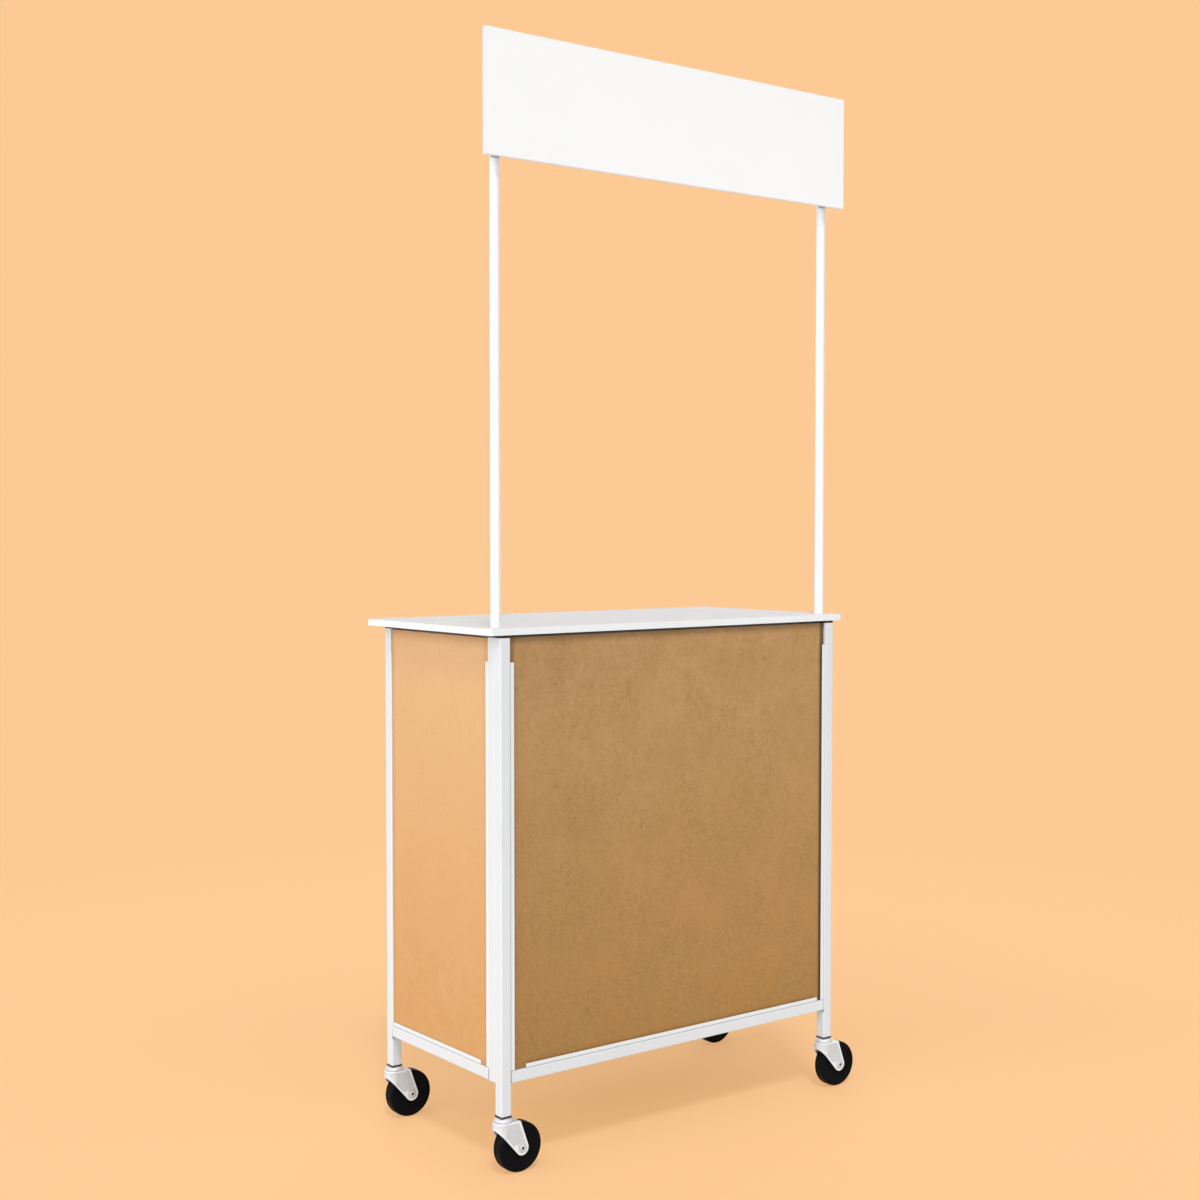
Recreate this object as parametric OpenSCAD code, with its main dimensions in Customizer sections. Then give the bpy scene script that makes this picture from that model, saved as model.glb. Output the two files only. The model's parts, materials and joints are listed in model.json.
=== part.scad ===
// Promotion counter on four swivel casters. A welded square tube frame holds fibreboard panels in
// steel channels on three sides and two shelves behind them. A laminated board lies on top, and a
// header board hangs on two round posts that lift out of socket tubes behind the front legs.
// Building frame: x = 0 midway between the legs, y = 0 at the front faces, z = 0 on the floor.

/* [Frame] */
// Width over the outer faces of the legs
frame_w = 867; // [600:1:1200]
// Depth over the outer faces of the legs
frame_d = 420; // [300:1:600]
// Height of the counter surface above the floor
counter_h = 1033; // [850:1:1200]
// Height of the undersides of the bottom rails above the floor
rail_clear = 174; // [150:1:220]
// Side of the square tube
tube = 22; // [21.8:0.1:28]
// Wall of the square tube
tube_wall = 1.2; // [0.8:0.1:1.3]
// Outer corner radius of the square tube
tube_r = 2; // [1.4:0.1:3]

/* [Countertop] */
// Thickness of the countertop
top_t = 13; // [12:1:25]
// Overhang of the countertop past the legs at each side
over_side = 23.5; // [5:0.5:60]
// Overhang of the countertop past the front legs
over_front = 2; // [0:0.5:30]
// Overhang of the countertop past the back legs
over_back = 30; // [5:0.5:60]
// Thickness of the edge band round the countertop
edge_t = 1; // [0.4:0.1:3]
// Corner radius of the countertop
top_r = 4; // [3.2:0.1:20]
// Depth of the pilot holes in its underside
pilot_depth = 9; // [6:0.5:11]

/* [Panels and channels] */
// Thickness of the panels
panel_t = 4; // [3:0.5:6]
// Play of a panel at its edges and against the lip that it rests on
panel_play = 0.5; // [0.2:0.1:1]
// Gap between the front panel and the outer lips of its channels
front_panel_gap = 4; // [1:0.5:5]
// Sheet thickness of the channels
channel_t = 1; // [0.6:0.1:1.5]
// Depth of the channels, from web to lip
channel_depth = 9; // [7:0.5:12]
// Distance of the channels behind the outer faces of the frame
channel_setback = 1.2; // [0.5:0.1:4]
// Drop from the countertop to the upper ends of the channels
channel_drop = 51; // [10:1:150]
// Gap between the front left leg and the bottom channel
front_gap_left = 35; // [0:1:100]
// Gap between the front right leg and the bottom channel
front_gap_right = 20; // [0:1:100]
// Gap between each post socket and the side bottom channel
side_gap_front = 29; // [0:1:80]
// Gap between each back leg and the side bottom channel
side_gap_back = 2; // [0:1:80]
// Gap between the side bottom channels and the angles above them
angle_gap = 1.5; // [0.5:0.5:20]
// Drop from the tops of the legs to the tops of the side panels
side_panel_drop = 2; // [0:0.5:10]

/* [Shelves] */
// Thickness of both shelves
shelf_t = 12; // [9:1:19]
// Height of the underside of the middle shelf above the floor
shelf_z = 580; // [400:1:760]
// Gap between a shelf and the legs at each side
shelf_play = 2.5; // [1:0.5:10]
// Distance of the front edges of the shelves behind the front legs
shelf_front = 13; // [12.5:0.5:20]
// Distance of the back edges of the shelves ahead of the back legs' back faces
shelf_back = 4; // [1:0.5:10]
// Distance of the cross rails under the bottom shelf from the middle
cross_x = 200; // [80:1:260]

/* [Header] */
// Outer diameter of the posts
post_d = 19; // [17:0.1:19.3]
// Wall of the posts
post_wall = 1.2; // [0.8:0.1:2]
// Radial play of the posts in the countertop and the spacers under it
post_play = 0.5; // [0.2:0.1:1]
// Depth of the posts below the counter surface
socket_depth = 260; // [120:1:400]
// Height of the top of the header board above the floor
header_top = 2135; // [1700:1:2400]
// Width of the header board
sign_w = 922; // [700:1:1300]
// Height of the header board
sign_h = 231; // [150:1:400]
// Thickness of the header board
sign_t = 10; // [8:0.5:12]
// Distance of the header board's face behind the front legs
sign_setback = 3.8; // [1:0.1:5]
// Distance of the post caps below the top of the header board
post_short = 12; // [5:1:40]
// Distance of the clips from the top and bottom of the header board
clip_inset = 48; // [30:1:70]
// Height of a clip
clip_h = 18; // [12:1:30]
// Wall of a clip
clip_wall = 2.5; // [1.5:0.1:3]
// Width of a clip's base
clip_w = 50; // [48:1:62]
// Reach of each lip of a clip past the side of its post
clip_grip = 2.4; // [1.5:0.1:3]
// Distance of the clip screws from the ends of the base
clip_screw_edge = 6.5; // [5.5:0.5:7]

/* [Casters] */
// Wheel diameter
wheel_d = 96; // [75:1:110]
// Width of the tread
wheel_w = 26; // [20:1:32]
// Edge radius of the tread
wheel_edge_r = 5; // [2:0.5:8]
// Width of the flat ring beside the tread's edge
wheel_ring_w = 5; // [3:0.5:12]
// Depth of the recess inside that ring
web_recess = 2.5; // [1:0.5:5]
// Wall of the wheel's hub
hub_wall = 5; // [4:0.5:8]
// Gap between the hub and each fork leg
hub_gap = 0.5; // [0.3:0.1:0.9]
// Horizontal distance between the swivel axis and the axle
trail = 32; // [26:1:36]
// Gap between the wheel and each fork leg
fork_gap = 2; // [1:0.1:4]
// Sheet thickness of the fork
fork_t = 2.5; // [1.5:0.1:3]
// Gap between the wheel and the fork's crown
crown_gap = 2.6; // [1.5:0.1:6]
// Distance of the centre of the fork's round front ahead of the swivel axis
crown_lead = 4; // [2:0.5:8]
// Distance of the crown's back edge ahead of the axle
crown_short = 4; // [0:0.5:8]
// Height of the skirt round the fork's crown
skirt_h = 13; // [8:0.5:16]
// Radius of the rounded end of each fork leg
fork_tip_r = 14; // [9:0.5:16]
// Radius of the domed raceway
dome_r = 18; // [17.5:0.5:20]
// Height of the domed raceway
dome_h = 8; // [7:0.5:12]
// Height of the straight rim round the raceway
dome_rim_h = 3; // [2:0.5:5]
// Width of the flat shoulder between the raceway's curve and the stem
dome_flat = 5; // [3:0.5:6]
// Diameter of the king pin
king_d = 8; // [6:0.5:10]
// Diameter of its head
king_head_d = 14; // [13:0.5:16]
// Diameter of the stem
stem_d = 11; // [8:0.5:12]
// Length of the stem above its dome
stem_l = 38; // [25:1:50]
// Diameter of the swivel balls
ball_d = 4; // [3:0.5:5]
// Number of swivel balls in each caster
balls = 8; // [6:1:10]
// Diameter of the axle rivet
rivet_d = 8; // [6:0.5:9]
// Diameter of the hole in the axle rivet
rivet_bore = 5; // [3:0.5:5]
// Diameter of the rivet's heads
rivet_head_d = 13; // [11:0.5:16]
// Thickness of the rivet's heads
rivet_head_t = 2.5; // [1:0.1:4]
// Outer diameter of the sleeve that the wheel turns on
sleeve_d = 12; // [11:0.5:16]

/* [Plastic inserts] */
// Thickness of the flanges of the caster inserts
flange_t = 3.5; // [1.5:0.1:4]
// Thickness of the plugs' flanges and of the spacers under the countertop
top_flange_t = 5; // [1.5:0.1:6]
// Amount by which the caster inserts' flanges stand proud of the legs
flange_proud = 1; // [0:0.1:2]
// Length of the caster inserts inside the legs
insert_h = 35; // [20:1:45]
// Length of the plugs inside the tube tops
plug_h = 15; // [8:1:30]
// Height of the stops inside the post sockets
stop_h = 20; // [10:1:40]

/* [Screws] */
// Diameter of all the screws
screw_d = 4; // [3:0.1:4.5]
// Diameter of their heads
screw_head_d = 8; // [7:0.1:9]
// Length of the shelf screws
shelf_screw_l = 18; // [16:1:20]
// Length of the clip screws
clip_screw_l = 10; // [8:0.5:10]
// Distance of the countertop screws from the middle of the front and back rails
top_screw_x = 260; // [60:1:270]
// Distance of the shelf screws from the front and back faces of the frame
shelf_screw_y = 80; // [50:1:120]

/* [Hidden] */

$fn = 48;
// Overshoot of every cutting body past the face that it cuts
cut = 1;
// Radial clearance of the turning fits
running = 0.05;
// Clearance of plastic parts in tubes and of screws in their holes
loose = 0.1;
// Room left past the points of the countertop screws
pilot_spare = 1;

white = [0.93, 0.93, 0.92];
laminate = [0.88, 0.88, 0.89];
fibreboard = [0.68, 0.51, 0.32];
zinc = [0.78, 0.79, 0.80];
black = [0.06, 0.06, 0.07];

// Caster heights, stacked up from the floor
axle_z = wheel_d / 2;
crown_z = wheel_d + crown_gap;
crown_top = crown_z + fork_t;
race_gap = 0.4;
dome_z = crown_top + race_gap;
dome_top = dome_z + dome_h;
leg_bottom = dome_top + flange_t;

// Frame heights
top_z = counter_h - top_t;
leg_top = top_z - top_flange_t;
rail_top = rail_clear + tube;

// Frame plan
inner_w = frame_w - 2 * tube;
inner_tube = tube - 2 * tube_wall;
leg_x = frame_w / 2 - tube / 2;
leg_ys = [tube / 2, frame_d - tube / 2];
socket_y = 1.5 * tube;
side_rail_x = inner_w / 2 - tube / 2;
side_l = frame_d - 3 * tube;
front_channel_w = panel_t + panel_play + front_panel_gap + 2 * channel_t;
side_channel_w = panel_t + 2 * panel_play + 2 * channel_t;

// Fork and wheel widths, measured from the middle of the wheel
fork_inner = wheel_w / 2 + fork_gap;
fork_outer = fork_inner + fork_t;
axle_half = fork_outer + rivet_head_t;
hub_half = fork_inner - hub_gap;
ball_ring_r = 13;
skirt_z = crown_top - skirt_h;
crown_back = trail - crown_short;
crown_front = crown_lead + fork_outer;

// Header
post_top = header_top - post_short;
post_bottom = counter_h - socket_depth;
cap_t = 3;
cap_plug_h = 10;
clip_zs = [header_top - sign_h + clip_inset, header_top - clip_inset];
clip_base_t = 3;
sign_back = sign_setback + sign_t;
clip_screw_x = clip_w / 2 - clip_screw_edge;
// Distance from the post axis to the back of the header board
clip_reach = socket_y - sign_back;
head_t = 2.5;

// The origin stands on the floor under the middle of the whole outline
right_reach = max(leg_x + trail + wheel_d / 2, sign_w / 2, frame_w / 2 + over_side);
left_reach = max(leg_x + crown_front, sign_w / 2, frame_w / 2 + over_side);
front_reach = max(max(axle_half, dome_r) - tube / 2, over_front);
back_reach = frame_d + max(max(axle_half, dome_r) - tube / 2, over_back);
middle = [(right_reach - left_reach) / 2, (back_reach - front_reach) / 2, 0];

module place() translate(-middle) children();

// Point where a line from p touches the circle of radius r about c, on side 1 or -1
function touch(p, c, r, side) =
    let (a = atan2(p[1] - c[1], p[0] - c[0]) + side * acos(r / norm(p - c)))
    c + r * [cos(a), sin(a)];

// Rectangle with round corners, centred
module round_rect(w, d, r) {
    square([w - 2 * r, d], center = true);
    square([w, d - 2 * r], center = true);
    for (x = [-1, 1], y = [-1, 1])
        translate([x * (w / 2 - r), y * (d / 2 - r)]) circle(r);
}

// Square tube of length l up from the origin
module tube_z(l) {
    difference() {
        linear_extrude(l) round_rect(tube, tube, tube_r);
        translate([0, 0, -cut]) linear_extrude(l + 2 * cut)
            round_rect(inner_tube, inner_tube, tube_r - tube_wall);
    }
}

module tube_x(l) rotate([0, 90, 0]) tube_z(l);

module tube_y(l) rotate([-90, 0, 0]) tube_z(l);

// Legs and post sockets
module leg(side, y) color(white)
    translate([side * leg_x, y, leg_bottom]) tube_z(leg_top - leg_bottom);

module post_socket(side) color(white)
    translate([side * leg_x, socket_y, rail_clear]) tube_z(leg_top - rail_clear);

// Rails. The side rails below butt on the sockets. The top ring carries the countertop, and the panels
// pass in front of it.
module bottom_rail_across(y) color(white)
    translate([-inner_w / 2, y, rail_clear + tube / 2]) tube_x(inner_w);

module bottom_rail_side(side) color(white)
    translate([side * leg_x, 2 * tube, rail_clear + tube / 2]) tube_y(side_l);

// Centres of the countertop screws and of the screws in each shelf
top_spots = concat(
    [for (x = [-1, 1], y = [socket_y, leg_ys[1]]) [x * top_screw_x, y]],
    [for (x = [-1, 1]) [x * side_rail_x, frame_d / 2]]
);
shelf_ys = [shelf_screw_y, frame_d - shelf_screw_y];
middle_spots = [for (x = [-1, 1], y = shelf_ys) [x * side_rail_x, y]];
bottom_spots = [for (x = [-1, 1], y = shelf_ys) [x * cross_x, y]];

// Holes of radius r at the given spots, from height z up over h
module holes(spots, z, h, r)
    for (s = spots) translate([s[0], s[1], z]) cylinder(h = h, r = r);

module top_rail_holes() holes(top_spots, top_z - tube - cut, tube + 2 * cut, screw_d / 2 + loose);

module cross_rail(side) color(white) difference() {
    translate([side * cross_x, tube, rail_clear + tube / 2]) tube_y(frame_d - 2 * tube);
    holes(bottom_spots, rail_top - 2 * tube_wall, 2 * tube_wall + cut, screw_d / 2 + loose);
}

module top_rail_across(y) color(white) difference() {
    translate([-inner_w / 2, y, top_z - tube / 2]) tube_x(inner_w);
    top_rail_holes();
}

module top_rail_side(side) color(white) difference() {
    translate([side * side_rail_x, 2 * tube, top_z - tube / 2]) tube_y(side_l);
    top_rail_holes();
}

module shelf_rail(side) color(white) difference() {
    translate([side * side_rail_x, tube, shelf_z - tube / 2]) tube_y(frame_d - tube);
    holes(middle_spots, shelf_z - 2 * tube_wall, 2 * tube_wall + cut, screw_d / 2 + loose);
}

// Walls. On each, u runs along it from its left or front upright and v runs in from the outer face.
module on_front() translate([-inner_w / 2, 0, 0]) children();

module on_left() translate([-frame_w / 2, 2 * tube, 0]) mirror([1, -1, 0]) children();

module on_right() mirror([1, 0, 0]) on_left() children();

// Channel of length l along z and width w, with its web on the plane u = 0 and its mouth towards +u
module channel(l, w) difference() {
    cube([channel_depth, w, l]);
    translate([channel_t, channel_t, -cut]) cube([channel_depth, w - 2 * channel_t, l + 2 * cut]);
}

// Angle of length l: a channel without its outer lip
module angle(l, w) difference() {
    cube([channel_depth, w, l]);
    translate([channel_t, -cut, -cut]) cube([channel_depth, w - channel_t + cut, l + 2 * cut]);
}

upright_top = top_z - channel_drop;

module bottom_channel(wall_l, w, gap_start, gap_end)
    translate([gap_start, 0, rail_top]) mirror([1, 0, -1]) channel(wall_l - gap_start - gap_end, w);

module front_channels() color(white) translate([0, channel_setback, 0]) {
    upright_l = upright_top - rail_top;
    translate([0, 0, rail_top]) channel(upright_l, front_channel_w);
    translate([inner_w, 0, rail_top]) mirror([1, 0, 0]) channel(upright_l, front_channel_w);
    bottom_channel(inner_w, front_channel_w, front_gap_left, front_gap_right);
}

// A side wall has a channel beside the post socket and an angle behind the panel at the back leg
module side_channels() color(white) translate([0, channel_setback, 0]) {
    angle_z = rail_top + channel_depth + angle_gap;
    translate([0, 0, rail_top]) channel(upright_top - rail_top, side_channel_w);
    translate([side_l, 0, angle_z]) mirror([1, 0, 0]) angle(upright_top - angle_z, side_channel_w);
    bottom_channel(side_l, side_channel_w, side_gap_front, side_gap_back);
}

// Panel of a wall, the given gap behind its channels' outer lips and the given drop below the leg tops
module wall_panel(wall_l, gap, drop) color(fibreboard)
    translate([channel_t + panel_play, channel_setback + channel_t + gap, rail_top + channel_t])
        cube([wall_l - 2 * (channel_t + panel_play), panel_t, leg_top - drop - rail_top - channel_t]);

// Countertop
top_w = frame_w + 2 * over_side;
top_d = frame_d + over_front + over_back;

module top_outline(inset) translate([0, (frame_d + over_back - over_front) / 2])
    round_rect(top_w - 2 * inset, top_d - 2 * inset, top_r - inset);

module post_holes(z, h)
    for (x = [-1, 1]) translate([x * leg_x, socket_y, z]) cylinder(h = h, r = post_d / 2 + post_play);

module countertop() color(laminate) difference() {
    translate([0, 0, top_z]) linear_extrude(top_t) top_outline(edge_t);
    post_holes(top_z - cut, top_t + 2 * cut);
    holes(top_spots, top_z - cut, pilot_depth + cut, screw_d / 2 + loose);
}

module countertop_edge() color(laminate) translate([0, 0, top_z]) linear_extrude(top_t) difference() {
    top_outline(0);
    top_outline(edge_t);
}

module countertop_screws() color(zinc)
    for (s = top_spots) translate([s[0], s[1], top_z - tube]) {
        translate([0, 0, -head_t]) cylinder(h = head_t, d = screw_head_d);
        cylinder(h = tube + pilot_depth - pilot_spare, d = screw_d);
    }

// Countersunk screw, or the hole for it, hanging down from the origin; grow widens it all round
module shelf_screw(grow, l) rotate_extrude() polygon([
    [0, grow], [screw_head_d / 2 + grow, grow], [screw_head_d / 2 + grow, 0],
    [screw_d / 2 + grow, -head_t], [screw_d / 2 + grow, -l], [0, -l]
]);

module shelf(z, spots) color(fibreboard) difference() {
    translate([-inner_w / 2 + shelf_play, shelf_front, z])
        cube([inner_w - 2 * shelf_play, frame_d - shelf_front - shelf_back, shelf_t]);
    for (s = spots) translate([s[0], s[1], z + shelf_t]) shelf_screw(loose, shelf_t + cut);
}

module shelf_screws() color(zinc) {
    for (s = middle_spots) translate([s[0], s[1], shelf_z + shelf_t]) shelf_screw(0, shelf_screw_l);
    for (s = bottom_spots) translate([s[0], s[1], rail_top + shelf_t]) shelf_screw(0, shelf_screw_l);
}

// Plastic pieces in the tube ends
module at_legs() for (x = [-1, 1], y = leg_ys) translate([x * leg_x, y, 0]) children();

module at_sockets() for (x = [-1, 1]) translate([x * leg_x, socket_y, 0]) children();

module inside_tube(h) linear_extrude(h)
    round_rect(inner_tube - 2 * loose, inner_tube - 2 * loose, tube_r - tube_wall);

module leg_top_plugs() color(black) at_legs() {
    translate([0, 0, leg_top]) linear_extrude(top_flange_t) round_rect(tube, tube, tube_r);
    translate([0, 0, leg_top - plug_h]) inside_tube(plug_h);
}

module socket_spacers() color(black) at_sockets() translate([0, 0, leg_top])
    linear_extrude(top_flange_t) difference() {
        round_rect(tube, tube, tube_r);
        circle(post_d / 2 + post_play);
    }

module socket_stops() color(black) at_sockets()
    translate([0, 0, post_bottom - stop_h]) inside_tube(stop_h);

module caster_inserts() color(black) at_legs() difference() {
    flange_w = tube + 2 * flange_proud;
    union() {
        translate([0, 0, dome_top]) linear_extrude(flange_t) round_rect(flange_w, flange_w, tube_r);
        translate([0, 0, leg_bottom]) inside_tube(insert_h);
    }
    translate([0, 0, dome_top - cut]) cylinder(h = flange_t + insert_h + 2 * cut, d = stem_d + 2 * loose);
}

// Casters. Each is drawn about its own swivel axis and trails towards +x.
module at_corner(side, y) translate([side * leg_x, y, 0]) children();

module ball_groove() translate([0, 0, crown_top + race_gap / 2 + ball_d / 2])
    rotate_extrude() translate([ball_ring_r, 0]) circle(ball_d / 2 + loose);

// Stem, domed raceway and king pin in one turned piece; the king pin's head holds the fork up
module stem() color(zinc) difference() {
    head_r = king_head_d / 2;
    head_z = crown_z - race_gap;
    stem_r = stem_d / 2;
    stem_top = dome_top + stem_l;
    chamfer = 1;
    curve_r = dome_r - stem_r - dome_flat;
    curve_h = dome_h - dome_rim_h;
    rotate_extrude() polygon(concat(
        [[0, head_z - head_t], [head_r, head_z - head_t], [head_r, head_z], [king_d / 2, head_z]],
        [[king_d / 2, dome_z], [dome_r, dome_z]],
        [for (a = [0:15:90]) [dome_r - curve_r * (1 - cos(a)), dome_z + dome_rim_h + curve_h * sin(a)]],
        [[stem_r, dome_top], [stem_r, stem_top - chamfer], [stem_r - chamfer, stem_top], [0, stem_top]]
    ));
    ball_groove();
}

module swivel_balls() color(zinc) at_legs()
    for (i = [0:balls - 1]) rotate([0, 0, i * 360 / balls])
        translate([ball_ring_r, 0, crown_top + race_gap / 2 + ball_d / 2]) sphere(d = ball_d);

// Plan of the fork: a round front that runs back to the fork legs, out to x = back
module fork_plan(half, back) {
    translate([-crown_lead, 0]) circle(half);
    translate([-crown_lead, -half]) square([crown_lead + back, 2 * half]);
}

// Side of the fork, in x and z: the crown's skirt in front, tapering back to a round end at the axle
module fork_side(inset) {
    axle = [trail, axle_z];
    r = fork_tip_r - inset;
    front = [-crown_lead - fork_outer + inset, skirt_z + inset / 2];
    back = [crown_back - inset, crown_top - inset];
    polygon([front, [front[0], back[1]], back, touch(back, axle, r, -1), axle, touch(front, axle, r, 1)]);
    translate(axle) circle(r);
}

// Shape in x and z made h thick, with its middle on y = 0
module upright(h) translate([0, h / 2, 0]) rotate([90, 0, 0]) linear_extrude(h) children();

module fork() color(zinc) difference() {
    pocket = 0.8;
    pocket_inset = 3.5;
    pocket_z = axle_z + rivet_head_d / 2 + 1;
    union() {
        translate([0, 0, crown_z]) linear_extrude(fork_t) fork_plan(fork_outer, crown_back);
        intersection() {
            linear_extrude(crown_top) difference() {
                fork_plan(fork_outer, trail + fork_tip_r);
                fork_plan(fork_inner, trail + fork_tip_r + cut);
            }
            upright(2 * fork_outer) fork_side(0);
        }
    }
    // Bore for the king pin, holes for the axle and the pressed middle of each leg
    translate([0, 0, crown_z - cut]) cylinder(h = fork_t + 2 * cut, r = king_d / 2 + running);
    translate([trail, 0, axle_z])
        rotate([90, 0, 0]) cylinder(h = 2 * (fork_outer + cut), d = rivet_d + 2 * loose, center = true);
    for (s = [-1, 1]) translate([0, s * fork_outer, 0]) upright(2 * pocket) intersection() {
        fork_side(pocket_inset);
        translate([-crown_lead, pocket_z]) square([crown_lead + trail + fork_tip_r, crown_z - pocket_z]);
    }
}

// Tubular axle rivet with a head outside each fork leg, and the sleeve between the legs
module axle() color(zinc) translate([trail, 0, axle_z]) rotate([90, 0, 0]) {
    difference() {
        union() {
            cylinder(h = 2 * axle_half, d = rivet_d, center = true);
            for (s = [-1, 1]) translate([0, 0, s * (fork_outer + rivet_head_t / 2)])
                cylinder(h = rivet_head_t, d = rivet_head_d, center = true);
        }
        cylinder(h = 2 * axle_half + 2 * cut, d = rivet_bore, center = true);
    }
    difference() {
        cylinder(h = 2 * fork_inner, d = sleeve_d, center = true);
        cylinder(h = 2 * fork_inner + 2 * cut, d = rivet_d + 2 * loose, center = true);
    }
}

// One half of the wheel's section as radius and distance from the middle plane
wheel_r = wheel_d / 2;
hub_r = sleeve_d / 2 + hub_wall;
web_half = wheel_w / 2 - web_recess;
ring_r = wheel_r - wheel_edge_r - wheel_ring_w;
hub_slope = 2;
ring_slope = 3;
half_section = concat(
    [[sleeve_d / 2 + running, hub_half], [hub_r, hub_half], [hub_r + hub_slope, web_half]],
    [[ring_r - ring_slope, web_half], [ring_r, wheel_w / 2]],
    [for (a = [90:-15:0]) [wheel_r - wheel_edge_r + wheel_edge_r * cos(a),
                           wheel_w / 2 - wheel_edge_r + wheel_edge_r * sin(a)]]
);
last = len(half_section) - 1;

module wheel() color(black) translate([trail, 0, axle_z]) rotate([90, 0, 0]) rotate_extrude($fn = 96)
    polygon(concat(half_section,
        [for (i = [last:-1:0]) [half_section[i][0], -half_section[i][1]]]));

// Header
module post(side) color(white) translate([side * leg_x, socket_y, post_bottom]) difference() {
    cylinder(h = post_top - post_bottom, d = post_d);
    translate([0, 0, -cut]) cylinder(h = post_top - post_bottom + 2 * cut, d = post_d - 2 * post_wall);
}

module post_caps() color(white) at_sockets() {
    translate([0, 0, post_top]) cylinder(h = cap_t, d = post_d);
    translate([0, 0, post_top - cap_plug_h])
        cylinder(h = cap_plug_h, d = post_d - 2 * post_wall - 2 * loose);
}

// Clip screws point forward, from the back of each clip's base into the board
module clip_screw_bodies(grow) at_sockets() for (z = clip_zs, x = [-1, 1])
    translate([x * clip_screw_x, clip_base_t - clip_reach + grow, z]) rotate([90, 0, 0])
        cylinder(h = clip_screw_l + 2 * grow, d = screw_d + 2 * grow);

module header_board() color(white) difference() {
    translate([-sign_w / 2, sign_setback, header_top - sign_h]) cube([sign_w, sign_t, sign_h]);
    clip_screw_bodies(loose);
}

module post_clips() color(white) difference() {
    outer_r = post_d / 2 + loose + clip_wall;
    mouth = post_d - 2 * clip_grip;
    at_sockets() for (z = clip_zs) translate([0, 0, z - clip_h / 2]) linear_extrude(clip_h)
        difference() {
            union() {
                circle(outer_r);
                translate([-outer_r, -clip_reach]) square([2 * outer_r, clip_reach]);
                translate([-clip_w / 2, -clip_reach]) square([clip_w, clip_base_t]);
            }
            circle(post_d / 2 + loose);
            translate([-mouth / 2, 0]) square([mouth, outer_r + cut]);
        }
    clip_screw_bodies(loose);
}

module clip_screws() color(zinc) {
    clip_screw_bodies(0);
    at_sockets() for (z = clip_zs, x = [-1, 1])
        translate([x * clip_screw_x, clip_base_t - clip_reach + head_t, z]) rotate([90, 0, 0])
            cylinder(h = head_t, d = screw_head_d);
}

place() leg(-1, leg_ys[0]);  // leg_front_left
place() leg(1, leg_ys[0]);  // leg_front_right
place() leg(-1, leg_ys[1]);  // leg_back_left
place() leg(1, leg_ys[1]);  // leg_back_right
place() post_socket(-1);  // post_socket_left
place() post_socket(1);  // post_socket_right
place() bottom_rail_across(leg_ys[0]);  // bottom_rail_front
place() bottom_rail_across(leg_ys[1]);  // bottom_rail_back
place() bottom_rail_side(-1);  // bottom_rail_left
place() bottom_rail_side(1);  // bottom_rail_right
place() cross_rail(-1);  // cross_rail_left
place() cross_rail(1);  // cross_rail_right
place() top_rail_across(socket_y);  // top_rail_front
place() top_rail_across(leg_ys[1]);  // top_rail_back
place() top_rail_side(-1);  // top_rail_left
place() top_rail_side(1);  // top_rail_right
place() shelf_rail(-1);  // shelf_rail_left
place() shelf_rail(1);  // shelf_rail_right
place() on_front() front_channels();
place() on_left() side_channels();  // left_channels
place() on_right() side_channels();  // right_channels
place() on_front() wall_panel(inner_w, front_panel_gap, 0);  // front_panel
place() on_left() wall_panel(side_l, panel_play, side_panel_drop);  // left_panel
place() on_right() wall_panel(side_l, panel_play, side_panel_drop);  // right_panel
place() countertop();
place() countertop_edge();
place() shelf(shelf_z, middle_spots);  // middle_shelf
place() shelf(rail_top, bottom_spots);  // bottom_shelf
place() countertop_screws();
place() shelf_screws();
place() leg_top_plugs();
place() socket_spacers();
place() socket_stops();
place() caster_inserts();
place() swivel_balls();
place() at_corner(-1, leg_ys[0]) stem();  // stem_front_left
place() at_corner(1, leg_ys[0]) stem();  // stem_front_right
place() at_corner(-1, leg_ys[1]) stem();  // stem_back_left
place() at_corner(1, leg_ys[1]) stem();  // stem_back_right
place() at_corner(-1, leg_ys[0]) fork();  // fork_front_left
place() at_corner(1, leg_ys[0]) fork();  // fork_front_right
place() at_corner(-1, leg_ys[1]) fork();  // fork_back_left
place() at_corner(1, leg_ys[1]) fork();  // fork_back_right
place() at_corner(-1, leg_ys[0]) axle();  // axle_front_left
place() at_corner(1, leg_ys[0]) axle();  // axle_front_right
place() at_corner(-1, leg_ys[1]) axle();  // axle_back_left
place() at_corner(1, leg_ys[1]) axle();  // axle_back_right
place() at_corner(-1, leg_ys[0]) wheel();  // wheel_front_left
place() at_corner(1, leg_ys[0]) wheel();  // wheel_front_right
place() at_corner(-1, leg_ys[1]) wheel();  // wheel_back_left
place() at_corner(1, leg_ys[1]) wheel();  // wheel_back_right
place() post(-1);  // post_left
place() post(1);  // post_right
place() post_caps();
place() header_board();
place() post_clips();
place() clip_screws();
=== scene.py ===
import json
import math
import bmesh
import bpy
from mathutils import Matrix, Vector

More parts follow.
